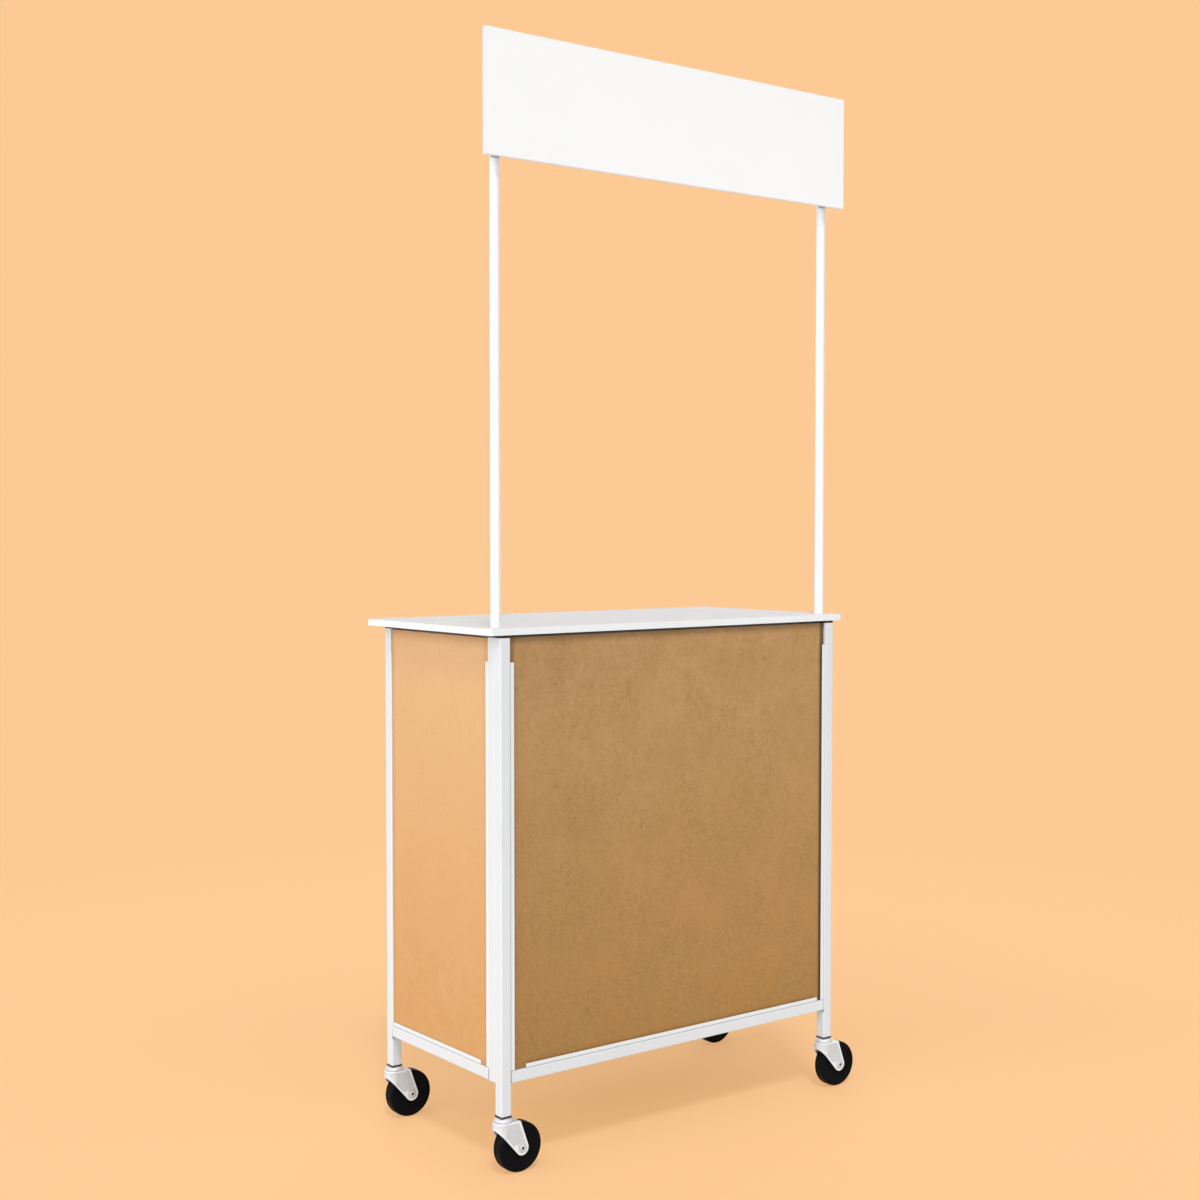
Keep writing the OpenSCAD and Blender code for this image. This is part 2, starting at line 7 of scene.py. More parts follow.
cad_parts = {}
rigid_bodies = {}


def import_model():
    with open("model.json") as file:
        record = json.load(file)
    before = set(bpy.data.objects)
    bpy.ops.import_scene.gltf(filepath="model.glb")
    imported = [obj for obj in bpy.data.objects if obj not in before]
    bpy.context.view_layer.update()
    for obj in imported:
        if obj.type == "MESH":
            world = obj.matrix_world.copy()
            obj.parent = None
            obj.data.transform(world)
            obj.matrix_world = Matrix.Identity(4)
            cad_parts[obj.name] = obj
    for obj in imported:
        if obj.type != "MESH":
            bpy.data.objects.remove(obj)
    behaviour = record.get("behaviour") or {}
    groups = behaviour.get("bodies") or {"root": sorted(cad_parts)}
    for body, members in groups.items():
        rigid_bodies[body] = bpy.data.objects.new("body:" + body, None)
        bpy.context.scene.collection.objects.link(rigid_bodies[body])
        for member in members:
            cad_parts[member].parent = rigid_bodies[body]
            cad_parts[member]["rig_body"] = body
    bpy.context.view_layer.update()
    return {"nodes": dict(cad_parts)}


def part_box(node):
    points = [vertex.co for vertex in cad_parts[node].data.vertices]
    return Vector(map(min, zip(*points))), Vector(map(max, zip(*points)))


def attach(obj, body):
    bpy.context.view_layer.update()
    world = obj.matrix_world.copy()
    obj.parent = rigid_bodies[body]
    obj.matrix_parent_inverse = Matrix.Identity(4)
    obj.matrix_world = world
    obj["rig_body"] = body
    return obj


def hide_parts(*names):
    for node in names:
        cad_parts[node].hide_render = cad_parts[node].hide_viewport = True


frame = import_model()
nodes = frame["nodes"]
mm = 0.001
casters = ["front_left", "front_right", "back_left", "back_right"]
print("loaded", len(nodes), "nodes of the counter")


# Small helpers for shader trees
def newNode(tree, kind, settings=None, inputs=None):
    node = tree.nodes.new(kind)
    for name, value in (settings or {}).items():
        setattr(node, name, value)
    for name, value in (inputs or {}).items():
        node.inputs[name].default_value = value
    return node


# A socket is linked to another socket, or set to a constant
def feed(tree, socket, value):
    if isinstance(value, bpy.types.NodeSocket):
        tree.links.new(value, socket)
    else:
        socket.default_value = value


def mixColours(tree, factor, first, second, blend="MIX"):
    settings = {"data_type": "RGBA", "blend_type": blend, "clamp_factor": True}
    node = newNode(tree, "ShaderNodeMix", settings)
    for index, value in ((0, factor), (6, first), (7, second)):
        feed(tree, node.inputs[index], value)
    return node.outputs[2]


def mathNode(tree, operation, first, second=0.0, clamp=False):
    node = newNode(tree, "ShaderNodeMath", {"operation": operation, "use_clamp": clamp})
    feed(tree, node.inputs[0], first)
    feed(tree, node.inputs[1], second)
    return node.outputs[0]


def plus(tree, first, second):
    return mathNode(tree, "ADD", first, second)


def times(tree, first, second):
    return mathNode(tree, "MULTIPLY", first, second)


def vectorNode(tree, operation, *values):
    node = newNode(tree, "ShaderNodeVectorMath", {"operation": operation})
    for socket, value in zip(node.inputs, values):
        feed(tree, socket, value)
    return node


# Value carried over from one span to another, held at the ends
def rangeNode(tree, value, span, target=(0.0, 1.0)):
    node = newNode(tree, "ShaderNodeMapRange", {"clamp": True}, {
        "From Min": span[0], "From Max": span[1], "To Min": target[0], "To Max": target[1]})
    tree.links.new(value, node.inputs["Value"])
    return node.outputs["Result"]


def noiseNode(tree, vector, scale, detail=2.0, roughness=0.5):
    node = newNode(tree, "ShaderNodeTexNoise", {}, {"Detail": detail, "Roughness": roughness})
    tree.links.new(vector, node.inputs["Vector"])
    feed(tree, node.inputs["Scale"], scale)
    return node.outputs["Fac"]


def heightOf(tree, place):
    split = newNode(tree, "ShaderNodeSeparateXYZ")
    tree.links.new(place, split.inputs[0])
    return split.outputs["Z"]


def attributeNode(tree, name):
    return newNode(tree, "ShaderNodeAttribute", {"attribute_name": name}).outputs["Fac"]


def startGroup(name, inputs, outputs):
    group = bpy.data.node_groups.new(name, "ShaderNodeTree")
    for label, kind, value in [("Vector", "Vector", None)] + inputs:
        socket = group.interface.new_socket(name=label, in_out="INPUT", socket_type="NodeSocket" + kind)
        if value is not None:
            socket.default_value = value
    for label in outputs:
        group.interface.new_socket(name=label, in_out="OUTPUT", socket_type="NodeSocketFloat")
    return group, newNode(group, "NodeGroupInput").outputs, newNode(group, "NodeGroupOutput").inputs


# Noise strays about a quarter from its middle, so its gain makes up for that
driftLook = {"detail": 3.0, "gain": 4.0}


# Slow change of tone over a large surface, as a value around 1
def makeToneDrift():
    group, given, result = startGroup("Tone drift", [
        ("Scale", "Float", 4.0), ("Spread", "Float", 0.03)], ["Tone"])
    broad = noiseNode(group, given["Vector"], given["Scale"], driftLook["detail"])
    centred = mathNode(group, "SUBTRACT", broad, 0.5)
    strayed = times(group, times(group, centred, given["Spread"]), driftLook["gain"])
    group.links.new(plus(group, strayed, 1.0), result["Tone"])
    return group


skinLook = {"pebbleDetail": 2.0, "waveScale": 0.2, "waveDetail": 1.0, "cloudScale": 0.03, "cloudDetail": 3.0,
            "cloud": (0.3, 0.7)}


# Skin of sprayed or moulded surfaces: a fine pebbled height and the change of gloss that goes with it
def makeSkin():
    group, given, result = startGroup("Surface skin", [("Scale", "Float", 500.0)], ["Height", "Gloss"])
    place, scale = given["Vector"], given["Scale"]
    pebble = noiseNode(group, place, scale, skinLook["pebbleDetail"])
    wave = noiseNode(group, place, times(group, scale, skinLook["waveScale"]), skinLook["waveDetail"])
    group.links.new(times(group, plus(group, pebble, wave), 0.5), result["Height"])
    cloudy = noiseNode(group, place, times(group, scale, skinLook["cloudScale"]), skinLook["cloudDetail"])
    group.links.new(rangeNode(group, cloudy, skinLook["cloud"], (-1.0, 1.0)), result["Gloss"])
    return group


dustLook = {"patches": (55.0, 5.0, 0.65), "patchSpan": (0.35, 0.75), "colour": (0.42, 0.38, 0.33, 1)}


# Dust that thins out with height above the floor
def makeFloorDust():
    group, given, result = startGroup("Floor dust", [
        ("Top", "Float", 0.3), ("Amount", "Float", 0.2)], ["Mask"])
    share = mathNode(group, "DIVIDE", heightOf(group, given["Vector"]), given["Top"])
    low = mathNode(group, "SUBTRACT", 1.0, share, clamp=True)
    patches = noiseNode(group, given["Vector"], *dustLook["patches"])
    layer = times(group, low, rangeNode(group, patches, dustLook["patchSpan"]))
    group.links.new(times(group, layer, given["Amount"]), result["Mask"])
    return group


markLook = {"streakDetail": 4.0, "streakRoughness": 0.6, "zoneScale": 0.15, "zoneDetail": 2.0,
            "lines": (0.58, 0.66), "areas": (0.5, 0.65)}


# Sparse rub marks, drawn out along one direction by the stretch
def makeRubMarks():
    group, given, result = startGroup("Rub marks", [
        ("Scale", "Float", 60.0), ("Stretch", "Vector", None), ("Amount", "Float", 0.5)], ["Mask"])
    drawn = vectorNode(group, "MULTIPLY", given["Vector"], given["Stretch"]).outputs[0]
    streaks = noiseNode(group, drawn, given["Scale"], markLook["streakDetail"], markLook["streakRoughness"])
    zoneScale = times(group, given["Scale"], markLook["zoneScale"])
    zones = noiseNode(group, given["Vector"], zoneScale, markLook["zoneDetail"])
    lines = rangeNode(group, streaks, markLook["lines"])
    areas = rangeNode(group, zones, markLook["areas"])
    group.links.new(times(group, times(group, lines, areas), given["Amount"]), result["Mask"])
    return group


# Scale, detail and roughness of the board's noises, and how they are put together
fibreNoises = {
    "fleck": (260.0, 3.0, 0.6), "fibre": (620.0, 4.0, 0.7), "cloud": (9.0, 4.0, 0.6),
    "blotch": (38.0, 3.0, 0.6), "mottle": (115.0, 3.0, 0.6), "zone": (17.0, 3.0, 0.6),
}
fibreLook = {"light": (0.29, 0.42), "dark": (0.68, 0.5), "fibreInDark": 0.4, "zones": (0.40, 0.62),
             "darkInZones": (0.35, 1.15), "clouds": {"cloud": 0.42, "blotch": 0.34, "mottle": 0.24},
             "cloudSpan": (0.41, 0.59)}


# Pressed wood fibre: dark and light flecks, tangled fibres and cloudy patches
def makeBoardFibre():
    group, given, result = startGroup("Board fibre", [
        ("Size", "Float", 1.0)], ["Dark", "Light", "Cloud", "Height"])
    scaled = vectorNode(group, "SCALE", given["Vector"])
    group.links.new(given["Size"], scaled.inputs["Scale"])
    noise = {name: noiseNode(group, scaled.outputs[0], *look) for name, look in fibreNoises.items()}
    bright = times(group, noise["fleck"], noise["fibre"])
    group.links.new(rangeNode(group, bright, fibreLook["light"]), result["Light"])
    deep = plus(group, noise["fleck"], times(group, noise["fibre"], fibreLook["fibreInDark"]))
    zones = rangeNode(group, noise["zone"], fibreLook["zones"], fibreLook["darkInZones"])
    group.links.new(times(group, rangeNode(group, deep, fibreLook["dark"]), zones), result["Dark"])
    soft = 0.0
    for name, share in fibreLook["clouds"].items():
        soft = plus(group, soft, times(group, noise[name], share))
    group.links.new(rangeNode(group, soft, fibreLook["cloudSpan"], (-1.0, 1.0)), result["Cloud"])
    group.links.new(plus(group, noise["fleck"], noise["fibre"]), result["Height"])
    return group


# Place along an axis. Line grows to 1 over the last width of a half length from a centre.
# Inside is the rest.
def makeJointLine():
    group, given, result = startGroup("Joint line", [
        ("Centre", "Vector", None), ("Axis", "Vector", None), ("Half", "Float", 1.0),
        ("Width", "Float", 0.002)], ["Line", "Inside"])
    away = vectorNode(group, "SUBTRACT", given["Vector"], given["Centre"]).outputs[0]
    size = vectorNode(group, "ABSOLUTE", away).outputs[0]
    along = vectorNode(group, "DOT_PRODUCT", size, given["Axis"]).outputs["Value"]
    share = mathNode(group, "DIVIDE", mathNode(group, "SUBTRACT", given["Half"], along), given["Width"])
    line = mathNode(group, "SUBTRACT", 1.0, share, clamp=True)
    group.links.new(line, result["Line"])
    group.links.new(mathNode(group, "SUBTRACT", 1.0, line), result["Inside"])
    return group


toneDrift = makeToneDrift()
skin = makeSkin()
floorDust = makeFloorDust()
rubMarks = makeRubMarks()
boardFibre = makeBoardFibre()
jointLine = makeJointLine()


def useGroup(tree, group, place, **values):
    node = newNode(tree, "ShaderNodeGroup", {"node_tree": group})
    tree.links.new(place, node.inputs["Vector"])
    for name, value in values.items():
        node.inputs[name].default_value = value
    return node.outputs


def startMaterial(name, look):
    material = bpy.data.materials.new(name)
    material.use_nodes = True
    tree = material.node_tree
    tree.nodes.clear()
    shader = newNode(tree, "ShaderNodeBsdfPrincipled", {}, {
        "Roughness": look["roughness"], "Metallic": look.get("metallic", 0.0),
        "Specular IOR Level": look["specular"]})
    output = newNode(tree, "ShaderNodeOutputMaterial")
    tree.links.new(shader.outputs[0], output.inputs["Surface"])
    place = newNode(tree, "ShaderNodeTexCoord").outputs["Object"]
    return material, tree, shader.inputs, place


def addBump(tree, shader, height, distance):
    bump = newNode(tree, "ShaderNodeBump", {}, {"Distance": distance, "Strength": 1.0})
    tree.links.new(height, bump.inputs["Height"])
    tree.links.new(bump.outputs["Normal"], shader["Normal"])


def addRoughness(tree, shader, base, change):
    tree.links.new(plus(tree, change, base), shader["Roughness"])


def tinted(tree, colour, tone):
    grey = newNode(tree, "ShaderNodeCombineColor")
    for socket in grey.inputs[:3]:
        tree.links.new(tone, socket)
    return mixColours(tree, 1.0, colour, grey.outputs[0], "MULTIPLY")


# Largest of several shades, each the product of its bands
def shadeOf(tree, place, shades):
    largest = 0.0
    for bands in shades:
        product = 1.0
        for band in bands:
            product = times(tree, useGroup(tree, jointLine, place, **band)["Inside"], product)
        largest = mathNode(tree, "MAXIMUM", product, largest)
    return largest


# Colour of painted shade in seams and joints
jointColour = (0.30, 0.30, 0.32, 1)
wornRoughness = 0.25


# Sprayed, moulded and laminated finishes, all built on the skin group
def makeSmoothFinish(name, look):
    material, tree, shader, place = startMaterial(name, look)
    tone = useGroup(tree, toneDrift, place, Scale=look["toneScale"], Spread=look["toneSpread"])["Tone"]
    colour = tinted(tree, look["colour"], tone)
    marks = useGroup(tree, rubMarks, place, Scale=look["markScale"], Stretch=look["markStretch"],
                     Amount=look["marks"])["Mask"]
    colour = mixColours(tree, marks, colour, look["markColour"])
    dust = useGroup(tree, floorDust, place, Top=look["dustTop"], Amount=look["dust"])["Mask"]
    colour = mixColours(tree, dust, colour, dustLook["colour"])
    # Lines of painted shade at seams, joints and ends
    for joint in look.get("joints", []):
        line = useGroup(tree, jointLine, place, **joint)["Line"]
        colour = mixColours(tree, line, colour, look.get("jointColour", jointColour))
    if "shades" in look:
        colour = mixColours(tree, shadeOf(tree, place, look["shades"]), colour, look["shadeColour"])
    tree.links.new(colour, shader["Base Color"])
    surface = useGroup(tree, skin, place, Scale=look["skinScale"])
    glossy = times(tree, surface["Gloss"], look["glossSpread"])
    worn = times(tree, plus(tree, dust, marks), wornRoughness)
    addRoughness(tree, shader, look["roughness"], plus(tree, glossy, worn))
    addBump(tree, shader, surface["Height"], look["skinDepth"])
    return material


smoothFinishes = {
    # powder coat on the square tubes and channels
    "framePaint": {
        "colour": (0.715, 0.733, 0.752, 1), "roughness": 0.42, "specular": 0.30, "glossSpread": 0.05,
        "toneScale": 3.0, "toneSpread": 0.012, "skinScale": 420.0, "skinDepth": 0.00006, "marks": 0.10,
        "markScale": 45.0, "markStretch": (1, 1, 0.2), "markColour": (0.52, 0.51, 0.49, 1),
        "dustTop": 0.30, "dust": 0.16},
    # smoother gloss paint on the round posts
    "postPaint": {
        "colour": (0.915, 0.928, 0.938, 1), "roughness": 0.30, "specular": 0.30, "glossSpread": 0.04,
        "toneScale": 2.5, "toneSpread": 0.010, "skinScale": 260.0, "skinDepth": 0.00002, "marks": 0.08,
        "markScale": 50.0, "markStretch": (1, 1, 0.15), "markColour": (0.60, 0.59, 0.57, 1),
        "dustTop": 0.01, "dust": 0.0},
    # satin face of the blank header board
    "signFace": {
        "colour": (0.985, 0.990, 0.992, 1), "roughness": 0.50, "specular": 0.30, "glossSpread": 0.05,
        "toneScale": 2.0, "toneSpread": 0.008, "skinScale": 900.0, "skinDepth": 0.00003, "marks": 0.05,
        "markScale": 30.0, "markStretch": (1, 1, 1), "markColour": (0.78, 0.78, 0.77, 1),
        "dustTop": 0.01, "dust": 0.0},
    # pebbled melamine on the countertop
    "laminate": {
        "colour": (0.60, 0.630, 0.665, 1), "roughness": 0.58, "specular": 0.14, "glossSpread": 0.07,
        "toneScale": 3.0, "toneSpread": 0.012, "skinScale": 700.0, "skinDepth": 0.00010, "marks": 0.20,
        "markScale": 40.0, "markStretch": (0.25, 1, 1), "markColour": (0.54, 0.545, 0.55, 1),
        "dustTop": 0.01, "dust": 0.0},
    # brighter plastic band round the countertop
    "edgeBand": {
        "colour": (0.83, 0.85, 0.858, 1), "roughness": 0.40, "specular": 0.30, "glossSpread": 0.04,
        "toneScale": 5.0, "toneSpread": 0.010, "skinScale": 350.0, "skinDepth": 0.00003, "marks": 0.12,
        "markScale": 90.0, "markStretch": (0.1, 0.1, 1), "markColour": (0.70, 0.70, 0.69, 1),
        "dustTop": 0.01, "dust": 0.0},
    # moulded white clips and post caps
    "whitePlastic": {
        "colour": (0.79, 0.79, 0.78, 1), "roughness": 0.36, "specular": 0.40, "glossSpread": 0.05,
        "toneScale": 20.0, "toneSpread": 0.010, "skinScale": 1100.0, "skinDepth": 0.00003, "marks": 0.05,
        "markScale": 90.0, "markStretch": (1, 1, 1), "markColour": (0.66, 0.65, 0.64, 1),
        "dustTop": 0.01, "dust": 0.0},
    # spark-textured black plugs, spacers, stops and caster inserts
    "blackPlastic": {
        "colour": (0.016, 0.016, 0.017, 1), "roughness": 0.52, "specular": 0.35, "glossSpread": 0.08,
        "toneScale": 20.0, "toneSpread": 0.06, "skinScale": 1500.0, "skinDepth": 0.00005, "marks": 0.2,
        "markScale": 120.0, "markStretch": (1, 1, 1), "markColour": (0.07, 0.07, 0.07, 1),
        "dustTop": 0.25, "dust": 0.15},
}


def alongAxis(value, axis):
    return [value * (i == axis) for i in range(3)]


# Joint line over the last width of a node at both of its ends along an axis
def endsOf(name, axis, width):
    low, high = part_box(name)
    return {"Centre": (low + high) / 2, "Axis": alongAxis(1.0, axis), "Half": (high[axis] - low[axis]) / 2,
            "Width": width}


# Joint line over the first width past a level, as at one side of a box reaching 1 m beyond it
def levelAt(level, axis, side, width):
    centre = alongAxis(level + side, axis)
    return {"Centre": centre, "Axis": alongAxis(1.0, axis), "Half": 1.0, "Width": width}


# Band around a level, fading out over the width to both sides
def bandAt(centre, axis, half, width):
    return {"Centre": alongAxis(centre, axis), "Axis": alongAxis(1.0, axis), "Half": half, "Width": width}


# Thin lines of painted shade at the welds of the rails, under the channels, at the ends of the front channels
# and at the ends of the header board
jointWidths = {"weld": 1.8 * mm, "channelFoot": 2.8 * mm, "channelEnds": 1.6 * mm, "signEnds": 0.4 * mm}
framePaint = smoothFinishes["framePaint"]
# The channels take a paler copy of the frame's paint: painted light on the same powder coat
litChannelPaint = {**framePaint, "colour": (0.762, 0.780, 0.800, 1)}
channelFoot = levelAt(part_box("front_channels")[0].z, 2, 1, jointWidths["channelFoot"])
channelEnds = endsOf("front_channels", 0, jointWidths["channelEnds"])
weldedRails = {"crossRailPaint": ("bottom_rail_front", 0), "sideRailPaint": ("bottom_rail_left", 1)}
for name, (rail, axis) in weldedRails.items():
    smoothFinishes[name] = {**framePaint, "joints": [endsOf(rail, axis, jointWidths["weld"])]}
smoothFinishes["sideChannelPaint"] = {**litChannelPaint, "joints": [channelFoot]}
smoothFinishes["frontChannelPaint"] = {**litChannelPaint, "joints": [channelFoot, channelEnds]}
# Painted shade on the end faces of the header board
smoothFinishes["signFace"].update(
    joints=[endsOf("header_board", 0, jointWidths["signEnds"])], jointColour=(0.80, 0.81, 0.82, 1))

# Painted shade on the upper part of the top ring, in the dark gap under the countertop
underTopShade = {"depth": 16 * mm, "colour": (0.085, 0.066, 0.048, 1)}
ringTop = levelAt(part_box("top_rail_front")[1].z, 2, -1, underTopShade["depth"])
smoothFinishes["topRailPaint"] = {**framePaint, "joints": [ringTop], "jointColour": underTopShade["colour"]}

# Shade on the inner faces of the legs just under the bottom rails
legShade = {"half": 8 * mm, "fade": 8 * mm, "past": 1.5 * mm, "faceFade": 1 * mm,
            "colour": (0.15, 0.15, 0.16, 1)}
railBoxes = {0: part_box("bottom_rail_front"), 1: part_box("bottom_rail_left")}
underRail = bandAt(railBoxes[0][0].z, 2, legShade["half"], legShade["fade"])
legShades = []
for axis, (low, high) in railBoxes.items():
    reach = (high[axis] - low[axis]) / 2 + legShade["past"]
    legShades.append([underRail, bandAt((low[axis] + high[axis]) / 2, axis, reach, legShade["faceFade"])])
smoothFinishes["legPaint"] = {**framePaint, "shades": legShades, "shadeColour": legShade["colour"]}

# Shade on the fronts of the posts just under the header board
postShade = {"below": 3 * mm, "half": 5 * mm, "fade": 4 * mm, "frontHalf": 11 * mm, "frontFade": 6 * mm,
             "colour": (0.30, 0.30, 0.31, 1)}
underSign = bandAt(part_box("header_board")[0].z + postShade["below"], 2, postShade["half"], postShade["fade"])
postFronts = bandAt(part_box("post_left")[0].y, 1, postShade["frontHalf"], postShade["frontFade"])
smoothFinishes["postPaint"].update(shadeColour=postShade["colour"], shades=[[underSign, postFronts]])
finishes = {name: makeSmoothFinish(name, look) for name, look in smoothFinishes.items()}

# Fibreboard. The side sheets are paler and calmer than the front one, partly as a paler sheet and partly as
# painted light, as the left sheet faces the strongest lamp, and the shelves are thicker board.
# Rims are painted shade along the channels and under the countertop, and broad painted shading, each with its
# share.
inChannel = 8 * mm
frontLow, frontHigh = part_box("front_panel")
sideLow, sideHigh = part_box("left_panel")
boardSurface = {"specular": 0.25, "bottomSpan": (1.0, 0.15), "bottomEdge": 0.05, "markScale": 25.0,
                "markStretch": (1, 1, 0.4), "marks": 0.18, "fleckRoughness": 0.10, "depth": 0.00012}
boards = {
    "frontBoard": {
        "middle": (0.505, 0.292, 0.129, 1), "dark": (0.235, 0.126, 0.038, 1), "light": (0.60, 0.37, 0.18, 1),
        "cloudDark": (0.350, 0.196, 0.060, 1), "cloud": 0.60, "flecks": 0.38, "size": 0.64, "roughness": 0.58,
        "aged": (0.375, 0.183, 0.037, 1), "bottomShare": 0.85, "shadeRimColour": (0.10, 0.062, 0.030, 1),
        "rims": [
            (levelAt(frontHigh.x - inChannel, 0, -1, 7 * mm), 0.9),
            (levelAt(frontLow.x + inChannel, 0, 1, 6 * mm), 0.45),
            (levelAt(frontLow.x, 0, 1, 450 * mm), 0.07),
            (levelAt(frontLow.z, 2, 1, 120 * mm), 0.05),
            (levelAt(frontHigh.z, 2, -1, 18 * mm), 0.5)]},
    "sideBoard": {
        "middle": (0.728, 0.444, 0.227, 1), "dark": (0.50, 0.265, 0.110, 1), "light": (0.80, 0.50, 0.26, 1),
        "cloudDark": (0.640, 0.360, 0.158, 1), "cloud": 0.45, "flecks": 0.20, "size": 0.64, "roughness": 0.55,
        "aged": (0.570, 0.272, 0.078, 1), "bottomShare": 0.9, "shadeRimColour": (0.50, 0.265, 0.110, 1),
        "rims": [
            (levelAt(sideLow.z + inChannel, 2, 1, 4.5 * mm), 0.6),
            (levelAt(sideHigh.y, 1, -1, 12 * mm), 0.8),
            (levelAt(sideLow.y + inChannel, 1, 1, 12 * mm), 0.4),
            (levelAt(sideHigh.z, 2, -1, 22 * mm), 0.5)]},
    "shelfBoard": {
        "middle": (0.52, 0.305, 0.145, 1), "dark": (0.27, 0.135, 0.055, 1), "light": (0.66, 0.43, 0.24, 1),
        "cloudDark": (0.44, 0.245, 0.108, 1), "cloud": 0.5, "flecks": 0.5, "size": 1.0, "roughness": 0.62,
        "aged": (0.47, 0.265, 0.115, 1), "bottomShare": 0.5, "rims": []},
}


def makeBoard(name, look):
    material, tree, shader, place = startMaterial(name, {**look, "specular": boardSurface["specular"]})
    fibre = useGroup(tree, boardFibre, place, Size=look["size"])
    patches = times(tree, plus(tree, times(tree, fibre["Cloud"], 0.5), 0.5), look["cloud"])
    # Colour darkens towards the bottom of a sheet, along an edge made ragged by the clouds
    level = plus(tree, heightOf(tree, place), times(tree, fibre["Cloud"], boardSurface["bottomEdge"]))
    low = rangeNode(tree, level, boardSurface["bottomSpan"], (0.0, look["bottomShare"]))
    colour = mixColours(tree, low, look["middle"], look["aged"])
    colour = mixColours(tree, patches, colour, look["cloudDark"])
    colour = mixColours(tree, times(tree, fibre["Dark"], look["flecks"]), colour, look["dark"])
    colour = mixColours(tree, times(tree, fibre["Light"], look["flecks"]), colour, look["light"])
    marks = useGroup(tree, rubMarks, place, Scale=boardSurface["markScale"],
                     Stretch=boardSurface["markStretch"], Amount=boardSurface["marks"])["Mask"]
    colour = mixColours(tree, marks, colour, look["light"])
    # Rims of painted shade and broad painted shading
    for rim, share in look["rims"]:
        line = useGroup(tree, jointLine, place, **rim)["Line"]
        colour = mixColours(tree, times(tree, line, share), colour, look["shadeRimColour"])
    tree.links.new(colour, shader["Base Color"])
    addRoughness(tree, shader, look["roughness"], times(tree, fibre["Dark"], boardSurface["fleckRoughness"]))
    addBump(tree, shader, fibre["Height"], boardSurface["depth"])
    return material


finishes.update({name: makeBoard(name, look) for name, look in boards.items()})

# Plated steel: bright zinc on the forks and raceways, plain zinc on screws, polished balls
metals = {
    "zincPlate": {
        "colour": (0.86, 0.90, 0.945, 1), "cloudColour": (0.72, 0.76, 0.81, 1), "roughness": 0.36,
        "spread": 0.10, "metallic": 0.15, "specular": 0.30, "scale": 140.0, "depth": 0.00006, "dust": 0.06,
        "pressed": (0.55, 0.585, 0.625, 1), "pressing": 0.92, "bore": (0.03, 0.03, 0.033, 1)},
    "screwZinc": {
        "colour": (0.68, 0.69, 0.70, 1), "cloudColour": (0.50, 0.51, 0.53, 1), "roughness": 0.32,
        "spread": 0.10, "metallic": 0.95, "specular": 0.5, "scale": 320.0, "depth": 0.00003, "dust": 0.05},
    "ballSteel": {
        "colour": (0.62, 0.63, 0.64, 1), "cloudColour": (0.50, 0.50, 0.51, 1), "roughness": 0.14,
        "spread": 0.05, "metallic": 1.0, "specular": 0.5, "scale": 200.0, "depth": 0.00001, "dust": 0.1},
}
metalSurface = {"cloudDetail": 3.0, "cloudRoughness": 0.6, "clouds": (0.4, 0.7), "cloudShare": (0.0, 0.7),
                "dustTop": 0.14, "markScale": 260.0, "markStretch": (1, 1, 0.25), "marks": 0.5,
                "markRoughness": 0.6}
# Radii about the axle over which the darker disc round it and the painted shade in its bore fade out
axleLook = {"disc": (11.0 * mm, 10.0 * mm), "bore": (3.0 * mm, 2.5 * mm), "boreShare": (0.0, 0.95),
            "grain": (520.0, 3.0, 0.6), "grainSpan": (0.35, 0.65), "grainShare": (0.75, 1.0)}


# Darker metal in the pressed parts of a fork and round its axle, and the dark bore of the axle, all painted.
# In the pressed parts it is partly a duller pressed face and partly painted shade, which leaves the rolled
# rims as bright as highlights, and round the raceway it is painted shade in its groove. The dark of the bore
# is painted shade.
def addPressingAndShade(tree, place, colour, look):
    names = ("pressed", "onLeg", "axleAcross", "axleUp")
    hollow, onLeg, across, up = [attributeNode(tree, name) for name in names]
    radius = mathNode(tree, "SQRT", plus(tree, times(tree, across, across), times(tree, up, up)))
    disc = times(tree, rangeNode(tree, radius, axleLook["disc"]), onLeg)
    grain = noiseNode(tree, place, *axleLook["grain"])
    grain = rangeNode(tree, grain, axleLook["grainSpan"], axleLook["grainShare"])
    share = times(tree, times(tree, mathNode(tree, "MAXIMUM", hollow, disc), grain), look["pressing"])
    colour = mixColours(tree, share, colour, look["pressed"])
    bore = times(tree, rangeNode(tree, radius, axleLook["bore"], axleLook["boreShare"]), onLeg)
    return mixColours(tree, bore, colour, look["bore"])


def makeMetal(name, look):
    material, tree, shader, place = startMaterial(name, look)
    cloud = noiseNode(tree, place, look["scale"], metalSurface["cloudDetail"], metalSurface["cloudRoughness"])
    clouded = rangeNode(tree, cloud, metalSurface["clouds"], metalSurface["cloudShare"])
    colour = mixColours(tree, clouded, look["colour"], look["cloudColour"])
    if "pressed" in look:
        colour = addPressingAndShade(tree, place, colour, look)
    marks = useGroup(tree, rubMarks, place, Scale=metalSurface["markScale"],
                     Stretch=metalSurface["markStretch"], Amount=metalSurface["marks"])["Mask"]
    colour = mixColours(tree, marks, colour, look["cloudColour"])
    dust = useGroup(tree, floorDust, place, Top=metalSurface["dustTop"], Amount=look["dust"])["Mask"]
    colour = mixColours(tree, dust, colour, dustLook["colour"])
    tree.links.new(colour, shader["Base Color"])
    cloudy = mathNode(tree, "SUBTRACT", cloud, 0.5)
    worn = plus(tree, cloudy, times(tree, marks, metalSurface["markRoughness"]))
    addRoughness(tree, shader, look["roughness"], times(tree, worn, look["spread"] * 2))
    addBump(tree, shader, cloud, look["depth"])
    return material


finishes.update({name: makeMetal(name, look) for name, look in metals.items()})

